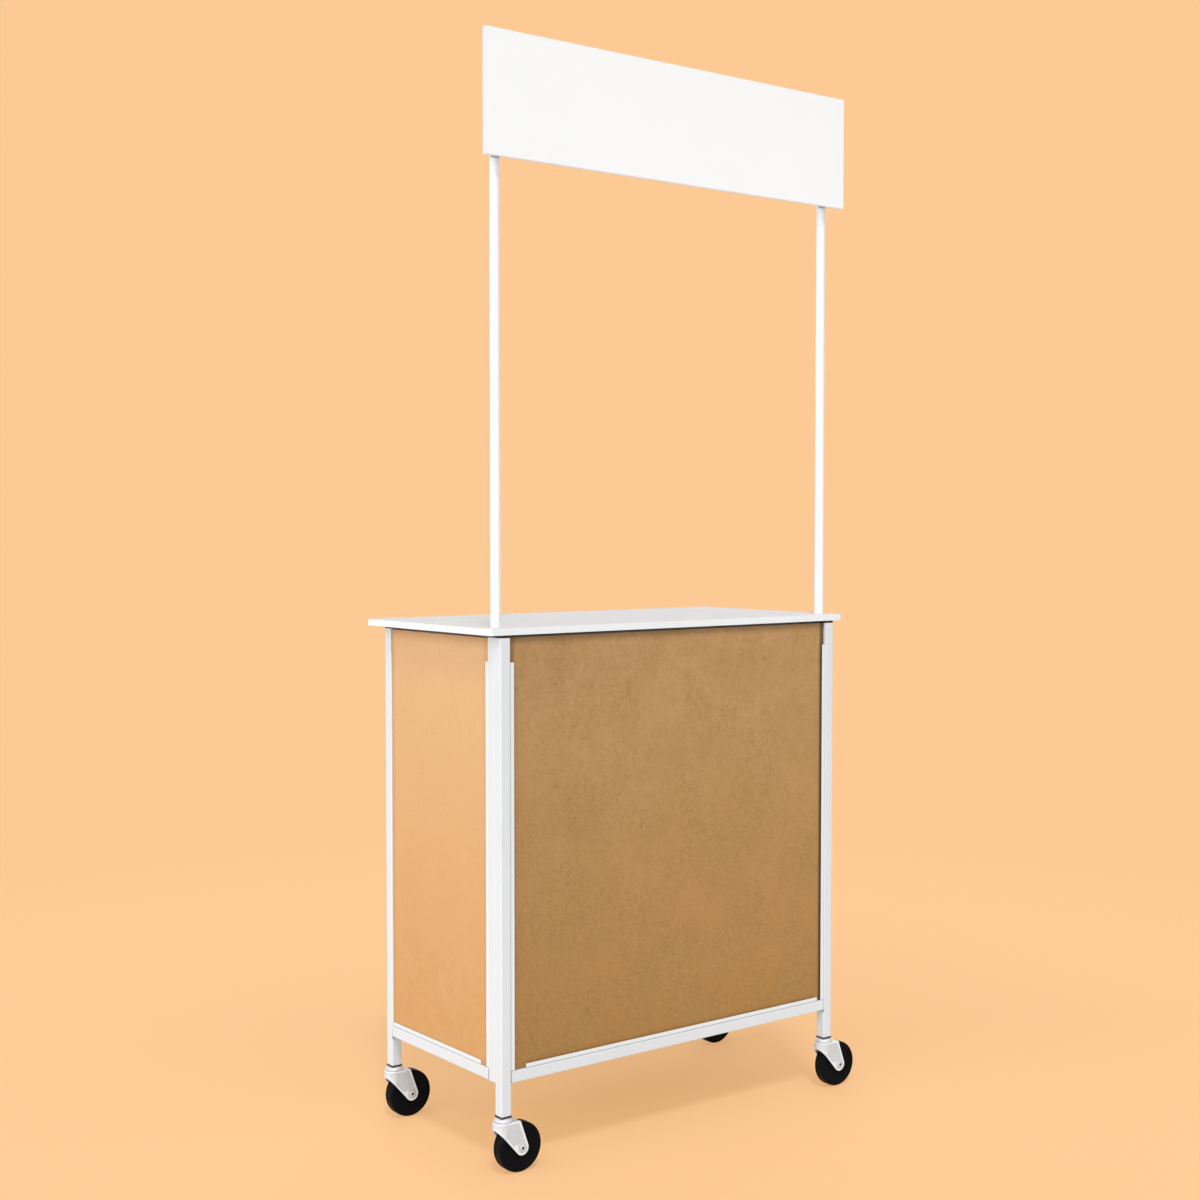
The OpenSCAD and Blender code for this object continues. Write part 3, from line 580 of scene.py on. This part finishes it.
# Solid black wheels: dark, slightly mottled, with a scuffed and dusty tread
wheelFinish = {
    "colour": (0.004, 0.0045, 0.006, 1), "greyed": (0.008, 0.009, 0.010, 1), "scuff": (0.06, 0.060, 0.060, 1),
    "roughness": 0.40, "specular": 0.03, "treadDust": 0.15, "faceDust": 0.006,
    "mottling": (90.0, 4.0, 0.6), "mottleSpan": (0.4, 0.75), "mottleShare": (0.0, 0.5),
    "scuffs": (210.0, 5.0, 0.7), "scuffSpan": (0.42, 0.7), "scuffRoughness": 0.8, "depth": 0.00006}


def makeWheelBlack(look):
    material, tree, shader, place = startMaterial("wheelBlack", look)
    mottled = noiseNode(tree, place, *look["mottling"])
    share = rangeNode(tree, mottled, look["mottleSpan"], look["mottleShare"])
    colour = mixColours(tree, share, look["colour"], look["greyed"])
    scuffs = rangeNode(tree, noiseNode(tree, place, *look["scuffs"]), look["scuffSpan"])
    amount = plus(tree, times(tree, attributeNode(tree, "tread"), look["treadDust"]), look["faceDust"])
    worn = times(tree, scuffs, amount)
    tree.links.new(mixColours(tree, worn, colour, look["scuff"]), shader["Base Color"])
    addRoughness(tree, shader, look["roughness"], times(tree, worn, look["scuffRoughness"]))
    addBump(tree, shader, plus(tree, mottled, scuffs), look["depth"])
    return material


finishes["wheelBlack"] = makeWheelBlack(wheelFinish)
print("made", len(finishes), "finishes")

# Helpers for meshes
weld = 0.002 * mm
axisSlack = 0.001 * mm
edgeSegments = 2
cornerSegments = 4


def finishPiece(name, shape, finish, body, stoodFor, sharp=32, weighted=True):
    mesh = bpy.data.meshes.new(name)
    shape.to_mesh(mesh)
    shape.free()
    mesh.materials.append(finishes[finish])
    mesh.shade_smooth()
    mesh.set_sharp_from_angle(angle=math.radians(sharp))
    piece = bpy.data.objects.new(name, mesh)
    bpy.context.scene.collection.objects.link(piece)
    if weighted:
        even = piece.modifiers.new("Even shading", "WEIGHTED_NORMAL")
        even.keep_sharp = True
    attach(piece, body)
    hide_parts(stoodFor)


# A node's mesh with its triangles merged back into flat faces
def copyNode(name, flatAngle=0.4):
    shape = bmesh.new()
    shape.from_mesh(nodes[name].data)
    bmesh.ops.remove_doubles(shape, verts=shape.verts, dist=weld)
    flat = math.radians(flatAngle)
    bmesh.ops.dissolve_limit(shape, angle_limit=flat, verts=shape.verts, edges=shape.edges)
    return shape


def sharpEdges(shape, angle=28):
    limit = math.radians(angle)
    return [e for e in shape.edges if len(e.link_faces) == 2 and e.calc_face_angle(0) > limit]


def roundOff(shape, geometry, width, segments, affect="EDGES"):
    bmesh.ops.bevel(shape, geom=geometry, offset=width * mm, offset_type="OFFSET", segments=segments,
                    profile=0.5, affect=affect, material=-1, clamp_overlap=True)


def addShape(target, shape, matrix):
    mesh = bpy.data.meshes.new("part")
    shape.to_mesh(mesh)
    mesh.transform(matrix)
    target.from_mesh(mesh)
    bpy.data.meshes.remove(mesh)


# A turned body from section points (radius, height, corner rounding) in mm, about the z axis
def turned(section, steps):
    shape = bmesh.new()
    points = [shape.verts.new((radius * mm, 0, height * mm)) for radius, height, _ in section]
    shape.faces.new(points)
    for size in sorted({rounding for _, _, rounding in section if rounding}):
        picked = [p for p, (_, _, rounding) in zip(points, section) if rounding == size]
        roundOff(shape, picked, size, cornerSegments, "VERTICES")
    bmesh.ops.delete(shape, geom=shape.faces[:], context="FACES_ONLY")
    onAxis = [e for e in shape.edges if max(v.co.x for v in e.verts) < axisSlack]
    bmesh.ops.delete(shape, geom=onAxis, context="EDGES")
    bmesh.ops.spin(shape, geom=shape.verts[:] + shape.edges[:], cent=(0, 0, 0), axis=(0, 0, 1),
                   angle=math.tau, steps=steps, use_merge=True)
    bmesh.ops.remove_doubles(shape, verts=shape.verts, dist=weld / 2)
    bmesh.ops.recalc_face_normals(shape, faces=shape.faces)
    return shape


# The other half of a section, mirrored at height 0
def mirrored(section):
    return [(radius, -height, rounding) for radius, height, rounding in reversed(section)]


def middleOf(low, high):
    return (low + high) / 2


def pieceName(start, corner):
    return start + "".join(word.capitalize() for word in corner.split("_"))


def clamped(value):
    return max(0.0, min(1.0, value))


# CAD nodes whose shape is right as it is take their finish in their own slots
carriedOver = {
    "framePaint": ["post_socket_left", "post_socket_right", "cross_rail_left", "cross_rail_right",
                   "shelf_rail_left", "shelf_rail_right"],
    "legPaint": ["leg_" + corner for corner in casters],
    "crossRailPaint": ["bottom_rail_front", "bottom_rail_back"],
    "sideRailPaint": ["bottom_rail_left", "bottom_rail_right"],
    "topRailPaint": ["top_rail_front", "top_rail_back", "top_rail_left", "top_rail_right"],
    "postPaint": ["post_left", "post_right"],
    "laminate": ["countertop"],
    "frontBoard": ["front_panel"],
    "sideBoard": ["left_panel", "right_panel"],
    "blackPlastic": ["socket_stops"],
    "ballSteel": ["swivel_balls"],
}
for finish, names in carriedOver.items():
    for name in names:
        nodes[name].data.materials.clear()
        nodes[name].data.materials.append(finishes[finish])
print("dressed the nodes that stay")

# Sheet, board and moulded pieces with their edges broken, as a press, saw or mould leaves them.
# Each has its node, finish, slot and the width of its edge in mm.
brokenEdges = {
    "frontChannels": ("front_channels", "frontChannelPaint", "white_paint", 0.2),
    "leftChannels": ("left_channels", "sideChannelPaint", "white_paint", 0.2),
    "rightChannels": ("right_channels", "sideChannelPaint", "white_paint", 0.2),
    "countertopBand": ("countertop_edge", "edgeBand", "edge_band", 0.7),
    "middleShelf": ("middle_shelf", "shelfBoard", "fibreboard", 0.6),
    "bottomShelf": ("bottom_shelf", "shelfBoard", "fibreboard", 0.6),
    "legTopPlugs": ("leg_top_plugs", "blackPlastic", "black_plastic", 0.4),
    "socketSpacers": ("socket_spacers", "blackPlastic", "black_plastic", 0.3),
    "casterInserts": ("caster_inserts", "blackPlastic", "black_plastic", 0.4),
    "headerBoard": ("header_board", "signFace", "header_face", 0.5),
    "postClips": ("post_clips", "whitePlastic", "white_plastic", 0.6),
}
for name, (source, finish, slotName, width) in brokenEdges.items():
    shape = copyNode(source)
    roundOff(shape, sharpEdges(shape), width, edgeSegments)
    finishPiece(name, shape, finish, nodes[source]["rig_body"], source)
print("broke the edges of the sheets, boards and mouldings")


# Place about the axle, as linear attributes of the fork and the rivet
def markAxle(shape, source):
    axle = middleOf(*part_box(source))
    onLeg, across, up = [shape.verts.layers.float.new(label) for label in ("onLeg", "axleAcross", "axleUp")]
    for v in shape.verts:
        v[onLeg], v[across], v[up] = 1.0, v.co.x - axle.x, v.co.z - axle.z


# Pressed forks: a wide bend where the crown turns down, and rolled rims along the cut edges. Lengths in mm.
forkLook = {"bend": 2.0, "bendSegments": 5, "rim": 0.55, "rimSegments": 3, "rimAngle": 40, "topRing": 0.05,
            "pinRoom": 8, "crownDepth": 0.3, "slack": 0.1, "hollowDepth": 0.2, "hollowFade": 0.5,
            "skirtHalf": 6}
# How dark the top of the crown, the skirt below its bend and the skirt's foot are painted; on the top of the
# crown it is painted shade round the raceway
forkDarkness = {"crown": 0.8, "skirt": 0.95, "foot": 0.45}


# Darkness painted at a point of a fork: its depth under the crown's top, whether it is on a leg, and how far
# inside the legs' outer faces it is
def darknessAt(under, onLeg, inside):
    if under < forkLook["bend"] - forkLook["slack"] / 2:
        return forkDarkness["crown"] if under < forkLook["crownDepth"] else 0.0
    if onLeg:
        return clamped((inside - forkLook["hollowDepth"]) / forkLook["hollowFade"])
    return forkDarkness["skirt"] if under < forkLook["skirtHalf"] else forkDarkness["foot"]


for corner in casters:
    source = "fork_" + corner
    shape = copyNode(source)
    low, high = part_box(source)
    half = (high.y - low.y) / 2
    legStart = low.x + half - forkLook["slack"] * mm
    pivot = middleOf(*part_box("stem_" + corner))
    ringLevel = high.z - forkLook["topRing"] * mm
    crownRim = [e for e in sharpEdges(shape) if all(v.co.z > ringLevel for v in e.verts)
                and min((v.co - pivot).xy.length for v in e.verts) > forkLook["pinRoom"] * mm]
    roundOff(shape, crownRim, forkLook["bend"], forkLook["bendSegments"])
    roundOff(shape, sharpEdges(shape, forkLook["rimAngle"]), forkLook["rim"], forkLook["rimSegments"])
    pressed = shape.verts.layers.float.new("pressed")
    for v in shape.verts:
        inside = (half - abs(v.co.y - pivot.y)) / mm
        v[pressed] = darknessAt((high.z - v.co.z) / mm, v.co.x > legStart, inside)
    markAxle(shape, "axle_" + corner)
    finishPiece(pieceName("fork", corner), shape, "zincPlate", "swivel_" + corner, source)

# Solid wheels, turned: hub, recessed web with a moulded groove, flat ring, rounded tread and its parting
# line. Radii and half widths in mm.
wheelRadius = 48
wheelBore = 6.05
hubRadius = 11
hubHalf = 14.5
webStart = 13
webHalf = 10.5
grooveStart = 27.4
grooveEnd = 30
grooveSlope = 0.6
grooveHalf = 10.0
webEnd = 35
treadStart = 38
treadHalf = 13
partingHalf = 0.3
partingDepth = 0.2
wheelSection = [
    (wheelBore, hubHalf, 0.3), (hubRadius, hubHalf, 0.8), (webStart, webHalf, 0.8),
    (grooveStart, webHalf, 0.25), (grooveStart + grooveSlope, grooveHalf, 0.2),
    (grooveEnd - grooveSlope, grooveHalf, 0.2), (grooveEnd, webHalf, 0.25), (webEnd, webHalf, 1.2),
    (treadStart, treadHalf, 1.2), (wheelRadius, treadHalf, 5.0), (wheelRadius, partingHalf, 0),
]
partingLine = [(wheelRadius - partingDepth, 0, 0)]
wheelLook = {"steps": 112, "dustyFrom": 45.5, "dustyFade": 2.0, "sharp": 50}
halfTurnX = Matrix.Rotation(math.radians(90), 4, "X")
for corner in casters:
    source = "wheel_" + corner
    shape = turned(wheelSection + partingLine + mirrored(wheelSection), wheelLook["steps"])
    tread = shape.verts.layers.float.new("tread")
    for v in shape.verts:
        radius = math.hypot(v.co.x, v.co.y) / mm
        v[tread] = clamped((radius - wheelLook["dustyFrom"]) / wheelLook["dustyFade"])
    shape.transform(Matrix.Translation(middleOf(*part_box(source))) @ halfTurnX)
    finishPiece(pieceName("wheel", corner), shape, "wheelBlack", "roller_" + corner, source,
                sharp=wheelLook["sharp"], weighted=False)

# Tubular axle rivets with rolled heads, each with the sleeve that its wheel turns on. Radii and half
# lengths in mm.
rivetBore = 2.5
rivetShank = 4
rivetHead = 6.5
rivetHalf = 20
headSeat = 17.5
sleeveBore = 4.1
sleeveRadius = 6
sleeveHalf = 15
rivetSide = [(rivetShank, headSeat, 0), (rivetHead, headSeat, 0.3), (rivetHead, rivetHalf, 1.3),
             (rivetBore, rivetHalf, 0.9)]
rivetSection = mirrored(rivetSide) + rivetSide
sleeveSide = [(sleeveRadius, sleeveHalf, 0.2), (sleeveBore, sleeveHalf, 0)]
sleeveSection = mirrored(sleeveSide) + sleeveSide
rivetSteps = 40
for corner in casters:
    source = "axle_" + corner
    shape = bmesh.new()
    for section in (rivetSection, sleeveSection):
        ring = turned(section, rivetSteps)
        addShape(shape, ring, Matrix.Translation(middleOf(*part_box(source))) @ halfTurnX)
        ring.free()
    markAxle(shape, source)
    finishPiece(pieceName("axle", corner), shape, "zincPlate", "swivel_" + corner, source)

# Stems with their domed raceways and king pins. Radii and heights in mm, up from the underside of the king
# pin's head.
pinHead = 7
pinHeadTop = 2.5
pinRadius = 4
ballRing = 13
grooveTop = 9.7
raceRadius = 18
raceFoot = 5.8
raceTop = 9.2
domeTop = 13.8
sunkRing = 13.4
stemRadius = 5.5
stemTop = 51.8
pinSection = [(0, 0, 0), (pinHead, 0, 1.0), (pinHead, pinHeadTop, 0.4), (pinRadius, pinHeadTop, 0.2),
              (pinRadius, raceFoot, 0.2)]
# The groove for the balls runs along their ring
grooveSection = [
    (ballRing - 2.2, raceFoot, 0.2), (ballRing - 1.7, 8.2, 0.6), (ballRing - 0.8, grooveTop, 0.5),
    (ballRing + 0.8, grooveTop, 0.5), (ballRing + 1.7, 8.2, 0.6), (ballRing + 2.2, raceFoot, 0.2),
]
# The dome has a shallow ring pressed into its flat top
domeSection = [(raceRadius, raceFoot, 0.7), (raceRadius, raceTop, 0.8), (17.1, 10.2, 0.8), (14.6, 13.0, 1.6),
               (10.5, domeTop, 0.6), (9.6, sunkRing, 0.3), (8.2, sunkRing, 0.3), (7.4, domeTop, 0.3),
               (stemRadius, domeTop, 0.3)]
stemSection = pinSection + grooveSection + domeSection + [(stemRadius, stemTop, 1.0), (0, stemTop, 0)]
# The raceway's rim lies in the groove over the fork and is painted darker than its dome, as shade in the
# groove
stemLook = {"steps": 64, "rimRadius": 17, "rimTop": 9.6, "rimShade": 1.0, "domeDarkness": 0.85}
for corner in casters:
    source = "stem_" + corner
    low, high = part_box(source)
    middle = middleOf(low, high)
    shape = turned(stemSection, stemLook["steps"])
    pressed = shape.verts.layers.float.new("pressed")
    for v in shape.verts:
        wide = math.hypot(v.co.x, v.co.y) > stemLook["rimRadius"] * mm
        onRim = wide and v.co.z < stemLook["rimTop"] * mm
        v[pressed] = stemLook["rimShade"] if onRim else stemLook["domeDarkness"]
    shape.transform(Matrix.Translation((middle.x, middle.y, low.z)))
    finishPiece(pieceName("stem", corner), shape, "zincPlate", "frame", source)
print("made the forks, wheels, axles and stems")

# Caps on the posts, with a rounded top and a plug inside the post. Radii and heights in mm.
capHeight = 3
capRadius = 9.5
plugRadius = 8.2
plugDepth = 10
capSection = [(0, -plugDepth, 0), (plugRadius, -plugDepth, 0.6), (plugRadius, 0, 0), (capRadius, 0, 0.2),
              (capRadius, capHeight, 1.8), (0, capHeight, 0)]
capSteps = 48
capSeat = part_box("post_caps")[1].z - capHeight * mm
shape = bmesh.new()
for post in ("post_left", "post_right"):
    cap = turned(capSection, capSteps)
    middle = middleOf(*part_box(post))
    addShape(shape, cap, Matrix.Translation((middle.x, middle.y, capSeat)))
    cap.free()
finishPiece("postCaps", shape, "whitePlastic", "header", "post_caps")

# Screws in mm. A section hangs down from the seat of the head, and a cross is cut into the top of the head.
recess = {"across": 4.2, "thick": 1.0, "deep": 1.5, "taper": 0.45}
shankRadius = 2
pointRadius = 0.4
headRadius = 4
headHeight = 2.5
sunkEdge = 0.25
panHead = [(shankRadius, 0, 0.15), (headRadius, 0, 0.25), (headRadius, headHeight, 1.7), (0, headHeight, 0)]
sunkHead = [(shankRadius, -headHeight, 0.1), (headRadius, -sunkEdge, 0), (headRadius, 0, 0.1), (0, 0, 0)]
screwSteps = 32
screwSharp = 40


def shankSection(length, tip):
    return [(0, -length, 0), (pointRadius, -length, 0), (shankRadius, tip - length, 0.4)]


# Two tapered blades, crossed at the top of the head
def makeCross(top):
    cross = bmesh.new()
    for turn in (0, 90):
        blade = bmesh.new()
        bmesh.ops.create_cube(blade, size=1.0)
        size = (recess["across"] * mm, recess["thick"] * mm, 2 * recess["deep"] * mm)
        bmesh.ops.scale(blade, vec=size, verts=blade.verts)
        for v in blade.verts:
            if v.co.z < 0:
                v.co.x *= recess["taper"]
        place = Matrix.Translation((0, 0, top * mm)) @ Matrix.Rotation(math.radians(turn), 4, "Z")
        addShape(cross, blade, place)
        blade.free()
    return cross


def looseObject(name, shape):
    mesh = bpy.data.meshes.new(name)
    shape.to_mesh(mesh)
    shape.free()
    item = bpy.data.objects.new(name, mesh)
    bpy.context.scene.collection.objects.link(item)
    return item


def makeScrew(section, top):
    screw = looseObject("screwBody", turned(section, screwSteps))
    tool = looseObject("screwCutter", makeCross(top))
    cut = screw.modifiers.new("Cross", "BOOLEAN")
    cut.object = tool
    cut.operation = "DIFFERENCE"
    cut.solver = "EXACT"
    cut.use_self = True
    evaluated = screw.evaluated_get(bpy.context.evaluated_depsgraph_get())
    shape = bmesh.new()
    shape.from_mesh(evaluated.to_mesh())
    evaluated.to_mesh_clear()
    for item in (screw, tool):
        bpy.data.objects.remove(item)
    return shape


# Boxes of the separate screws in one node, found from its loose solids
def looseBoxes(source):
    shape = bmesh.new()
    shape.from_mesh(nodes[source].data)
    bmesh.ops.remove_doubles(shape, verts=shape.verts, dist=weld)
    left = set(shape.verts)
    found = []
    while left:
        front = [left.pop()]
        island = []
        while front:
            v = front.pop()
            island.append(v.co.copy())
            for e in v.link_edges:
                other = e.other_vert(v)
                if other in left:
                    left.discard(other)
                    front.append(other)
        low = Vector([min(p[i] for p in island) for i in range(3)])
        high = Vector([max(p[i] for p in island) for i in range(3)])
        found.append((low, high))
    shape.free()
    return found


# Copies of one screw at the screws of a node. The seat gives the place of the head's seat in a screw's box.
def placeScrews(name, source, screw, seat, turn, body):
    target = bmesh.new()
    for low, high in looseBoxes(source):
        addShape(target, screw, Matrix.Translation(seat(low, high)) @ turn)
    screw.free()
    finishPiece(name, target, "screwZinc", body, source, sharp=screwSharp, weighted=False)


def seatUnder(low, high):
    middle = middleOf(low, high)
    return middle.x, middle.y, low.z + headHeight * mm


def seatBehind(low, high):
    middle = middleOf(low, high)
    return middle.x, high.y - headHeight * mm, middle.z


def seatOnTop(low, high):
    middle = middleOf(low, high)
    return middle.x, middle.y, high.z


topScrew = makeScrew(shankSection(30, 3) + panHead, headHeight)
clipScrew = makeScrew(shankSection(10, 2.5) + panHead, headHeight)
flatScrew = makeScrew(shankSection(18, 3) + sunkHead, 0.0)
headDown = Matrix.Rotation(math.radians(180), 4, "X")
headBack = Matrix.Rotation(math.radians(-90), 4, "X")
placeScrews("countertopScrews", "countertop_screws", topScrew, seatUnder, headDown, "frame")
placeScrews("clipScrews", "clip_screws", clipScrew, seatBehind, headBack, "header")
placeScrews("shelfScrews", "shelf_screws", flatScrew, seatOnTop, Matrix.Identity(4), "frame")
print("made the caps and screws")

# Camera at the photograph's viewpoint
cameraLook = {"place": (-2.27935, -2.9007, 1.2235), "yaw": 37.515, "pitch": -2.425, "lens": 52.42,
              "sensor": 36, "near": 0.05, "far": 200}


def makeCamera(look):
    camera = bpy.data.objects.new("camera", bpy.data.cameras.new("camera"))
    bpy.context.scene.collection.objects.link(camera)
    camera.location = look["place"]
    camera.rotation_euler = (math.radians(90 + look["pitch"]), 0, math.radians(-look["yaw"]))
    camera.data.lens = look["lens"]
    camera.data.sensor_width = look["sensor"]
    camera.data.clip_start = look["near"]
    camera.data.clip_end = look["far"]
    bpy.context.scene.camera = camera


# Plain warm backdrop and floor. The floor fades into the backdrop away from the counter.
stageLook = {
    "backdrop": (0.983, 0.591, 0.305, 1), "floorLit": (0.808, 0.527, 0.332, 1),
    "floorGlow": (1.142, 0.650, 0.278, 1), "selfLit": 0.50, "floorBounce": (0.80, 0.79, 0.77, 1),
    "ambient": 0.35, "fadeStart": 1.6, "fadeEnd": 3.4, "floorRadius": 6.0, "floorSegments": 96}


# Rays that show the stage itself. The others only carry its light.
def seenRays(tree):
    rays = newNode(tree, "ShaderNodeLightPath")
    direct = mathNode(tree, "MAXIMUM", rays.outputs["Is Camera Ray"], rays.outputs["Is Glossy Ray"])
    return mathNode(tree, "MAXIMUM", direct, rays.outputs["Is Transmission Ray"])


def mixShaders(tree, factor, first, second):
    node = newNode(tree, "ShaderNodeMixShader")
    for socket, value in zip(node.inputs, (factor, first.outputs[0], second.outputs[0])):
        feed(tree, socket, value)
    return node


def makeBackdrop(look):
    world = bpy.data.worlds.new("studio")
    bpy.context.scene.world = world
    world.use_nodes = True
    tree = world.node_tree
    tree.nodes.clear()
    output = newNode(tree, "ShaderNodeOutputWorld")
    seen = newNode(tree, "ShaderNodeBackground", {}, {"Color": look["backdrop"], "Strength": 1.0})
    ambient = newNode(tree, "ShaderNodeBackground", {}, {"Color": (1, 1, 1, 1), "Strength": look["ambient"]})
    choice = mixShaders(tree, seenRays(tree), ambient, seen)
    tree.links.new(choice.outputs[0], output.inputs["Surface"])


def makeFloorFinish(look):
    material = bpy.data.materials.new("floorFinish")
    material.use_nodes = True
    tree = material.node_tree
    tree.nodes.clear()
    output = newNode(tree, "ShaderNodeOutputMaterial")
    lit = newNode(tree, "ShaderNodeBsdfDiffuse", {}, {"Color": look["floorLit"]})
    glow = newNode(tree, "ShaderNodeEmission", {}, {"Color": look["floorGlow"], "Strength": 1.0})
    bounced = newNode(tree, "ShaderNodeBsdfDiffuse", {}, {"Color": look["floorBounce"]})
    clear = newNode(tree, "ShaderNodeBsdfTransparent")
    shown = mixShaders(tree, look["selfLit"], lit, glow)
    near = mixShaders(tree, seenRays(tree), bounced, shown)
    place = newNode(tree, "ShaderNodeTexCoord").outputs["Object"]
    fade = newNode(tree, "ShaderNodeMapRange", {"interpolation_type": "SMOOTHSTEP"}, {
        "From Min": look["fadeStart"], "From Max": look["fadeEnd"], "To Min": 0.0, "To Max": 1.0})
    tree.links.new(vectorNode(tree, "LENGTH", place).outputs["Value"], fade.inputs["Value"])
    faded = mixShaders(tree, fade.outputs["Result"], near, clear)
    tree.links.new(faded.outputs[0], output.inputs["Surface"])
    return material


def makeFloor(look):
    shape = bmesh.new()
    bmesh.ops.create_circle(shape, cap_ends=True, segments=look["floorSegments"], radius=look["floorRadius"])
    floor = looseObject("floor", shape)
    floor.data.materials.append(makeFloorFinish(look))


# Soft studio light from far away: high in front, from the left, weaker from the front, weakest from behind
lampLooks = {
    "highFront": {"strength": 1.15, "from": (-0.32, -0.56, 1.0), "spread": 10},
    "leftSide": {"strength": 2.15, "from": (-1.0, -0.22, 0.36), "spread": 75},
    "frontSide": {"strength": 0.65, "from": (0.15, -1.0, 0.36), "spread": 75},
    "backSide": {"strength": 0.8, "from": (0.60, 0.80, 0.45), "spread": 75},
}


def makeLamp(name, look):
    lampData = bpy.data.lights.new(name, "SUN")
    lampData.energy = look["strength"]
    lampData.angle = math.radians(look["spread"])
    lamp = bpy.data.objects.new(name, lampData)
    bpy.context.scene.collection.objects.link(lamp)
    lamp.rotation_euler = Vector(look["from"]).to_track_quat("Z", "Y").to_euler()


makeCamera(cameraLook)
makeBackdrop(stageLook)
makeFloor(stageLook)
for name, look in lampLooks.items():
    makeLamp(name, look)
bpy.context.scene.view_settings.view_transform = "Standard"
print("set the camera, floor and lamps")
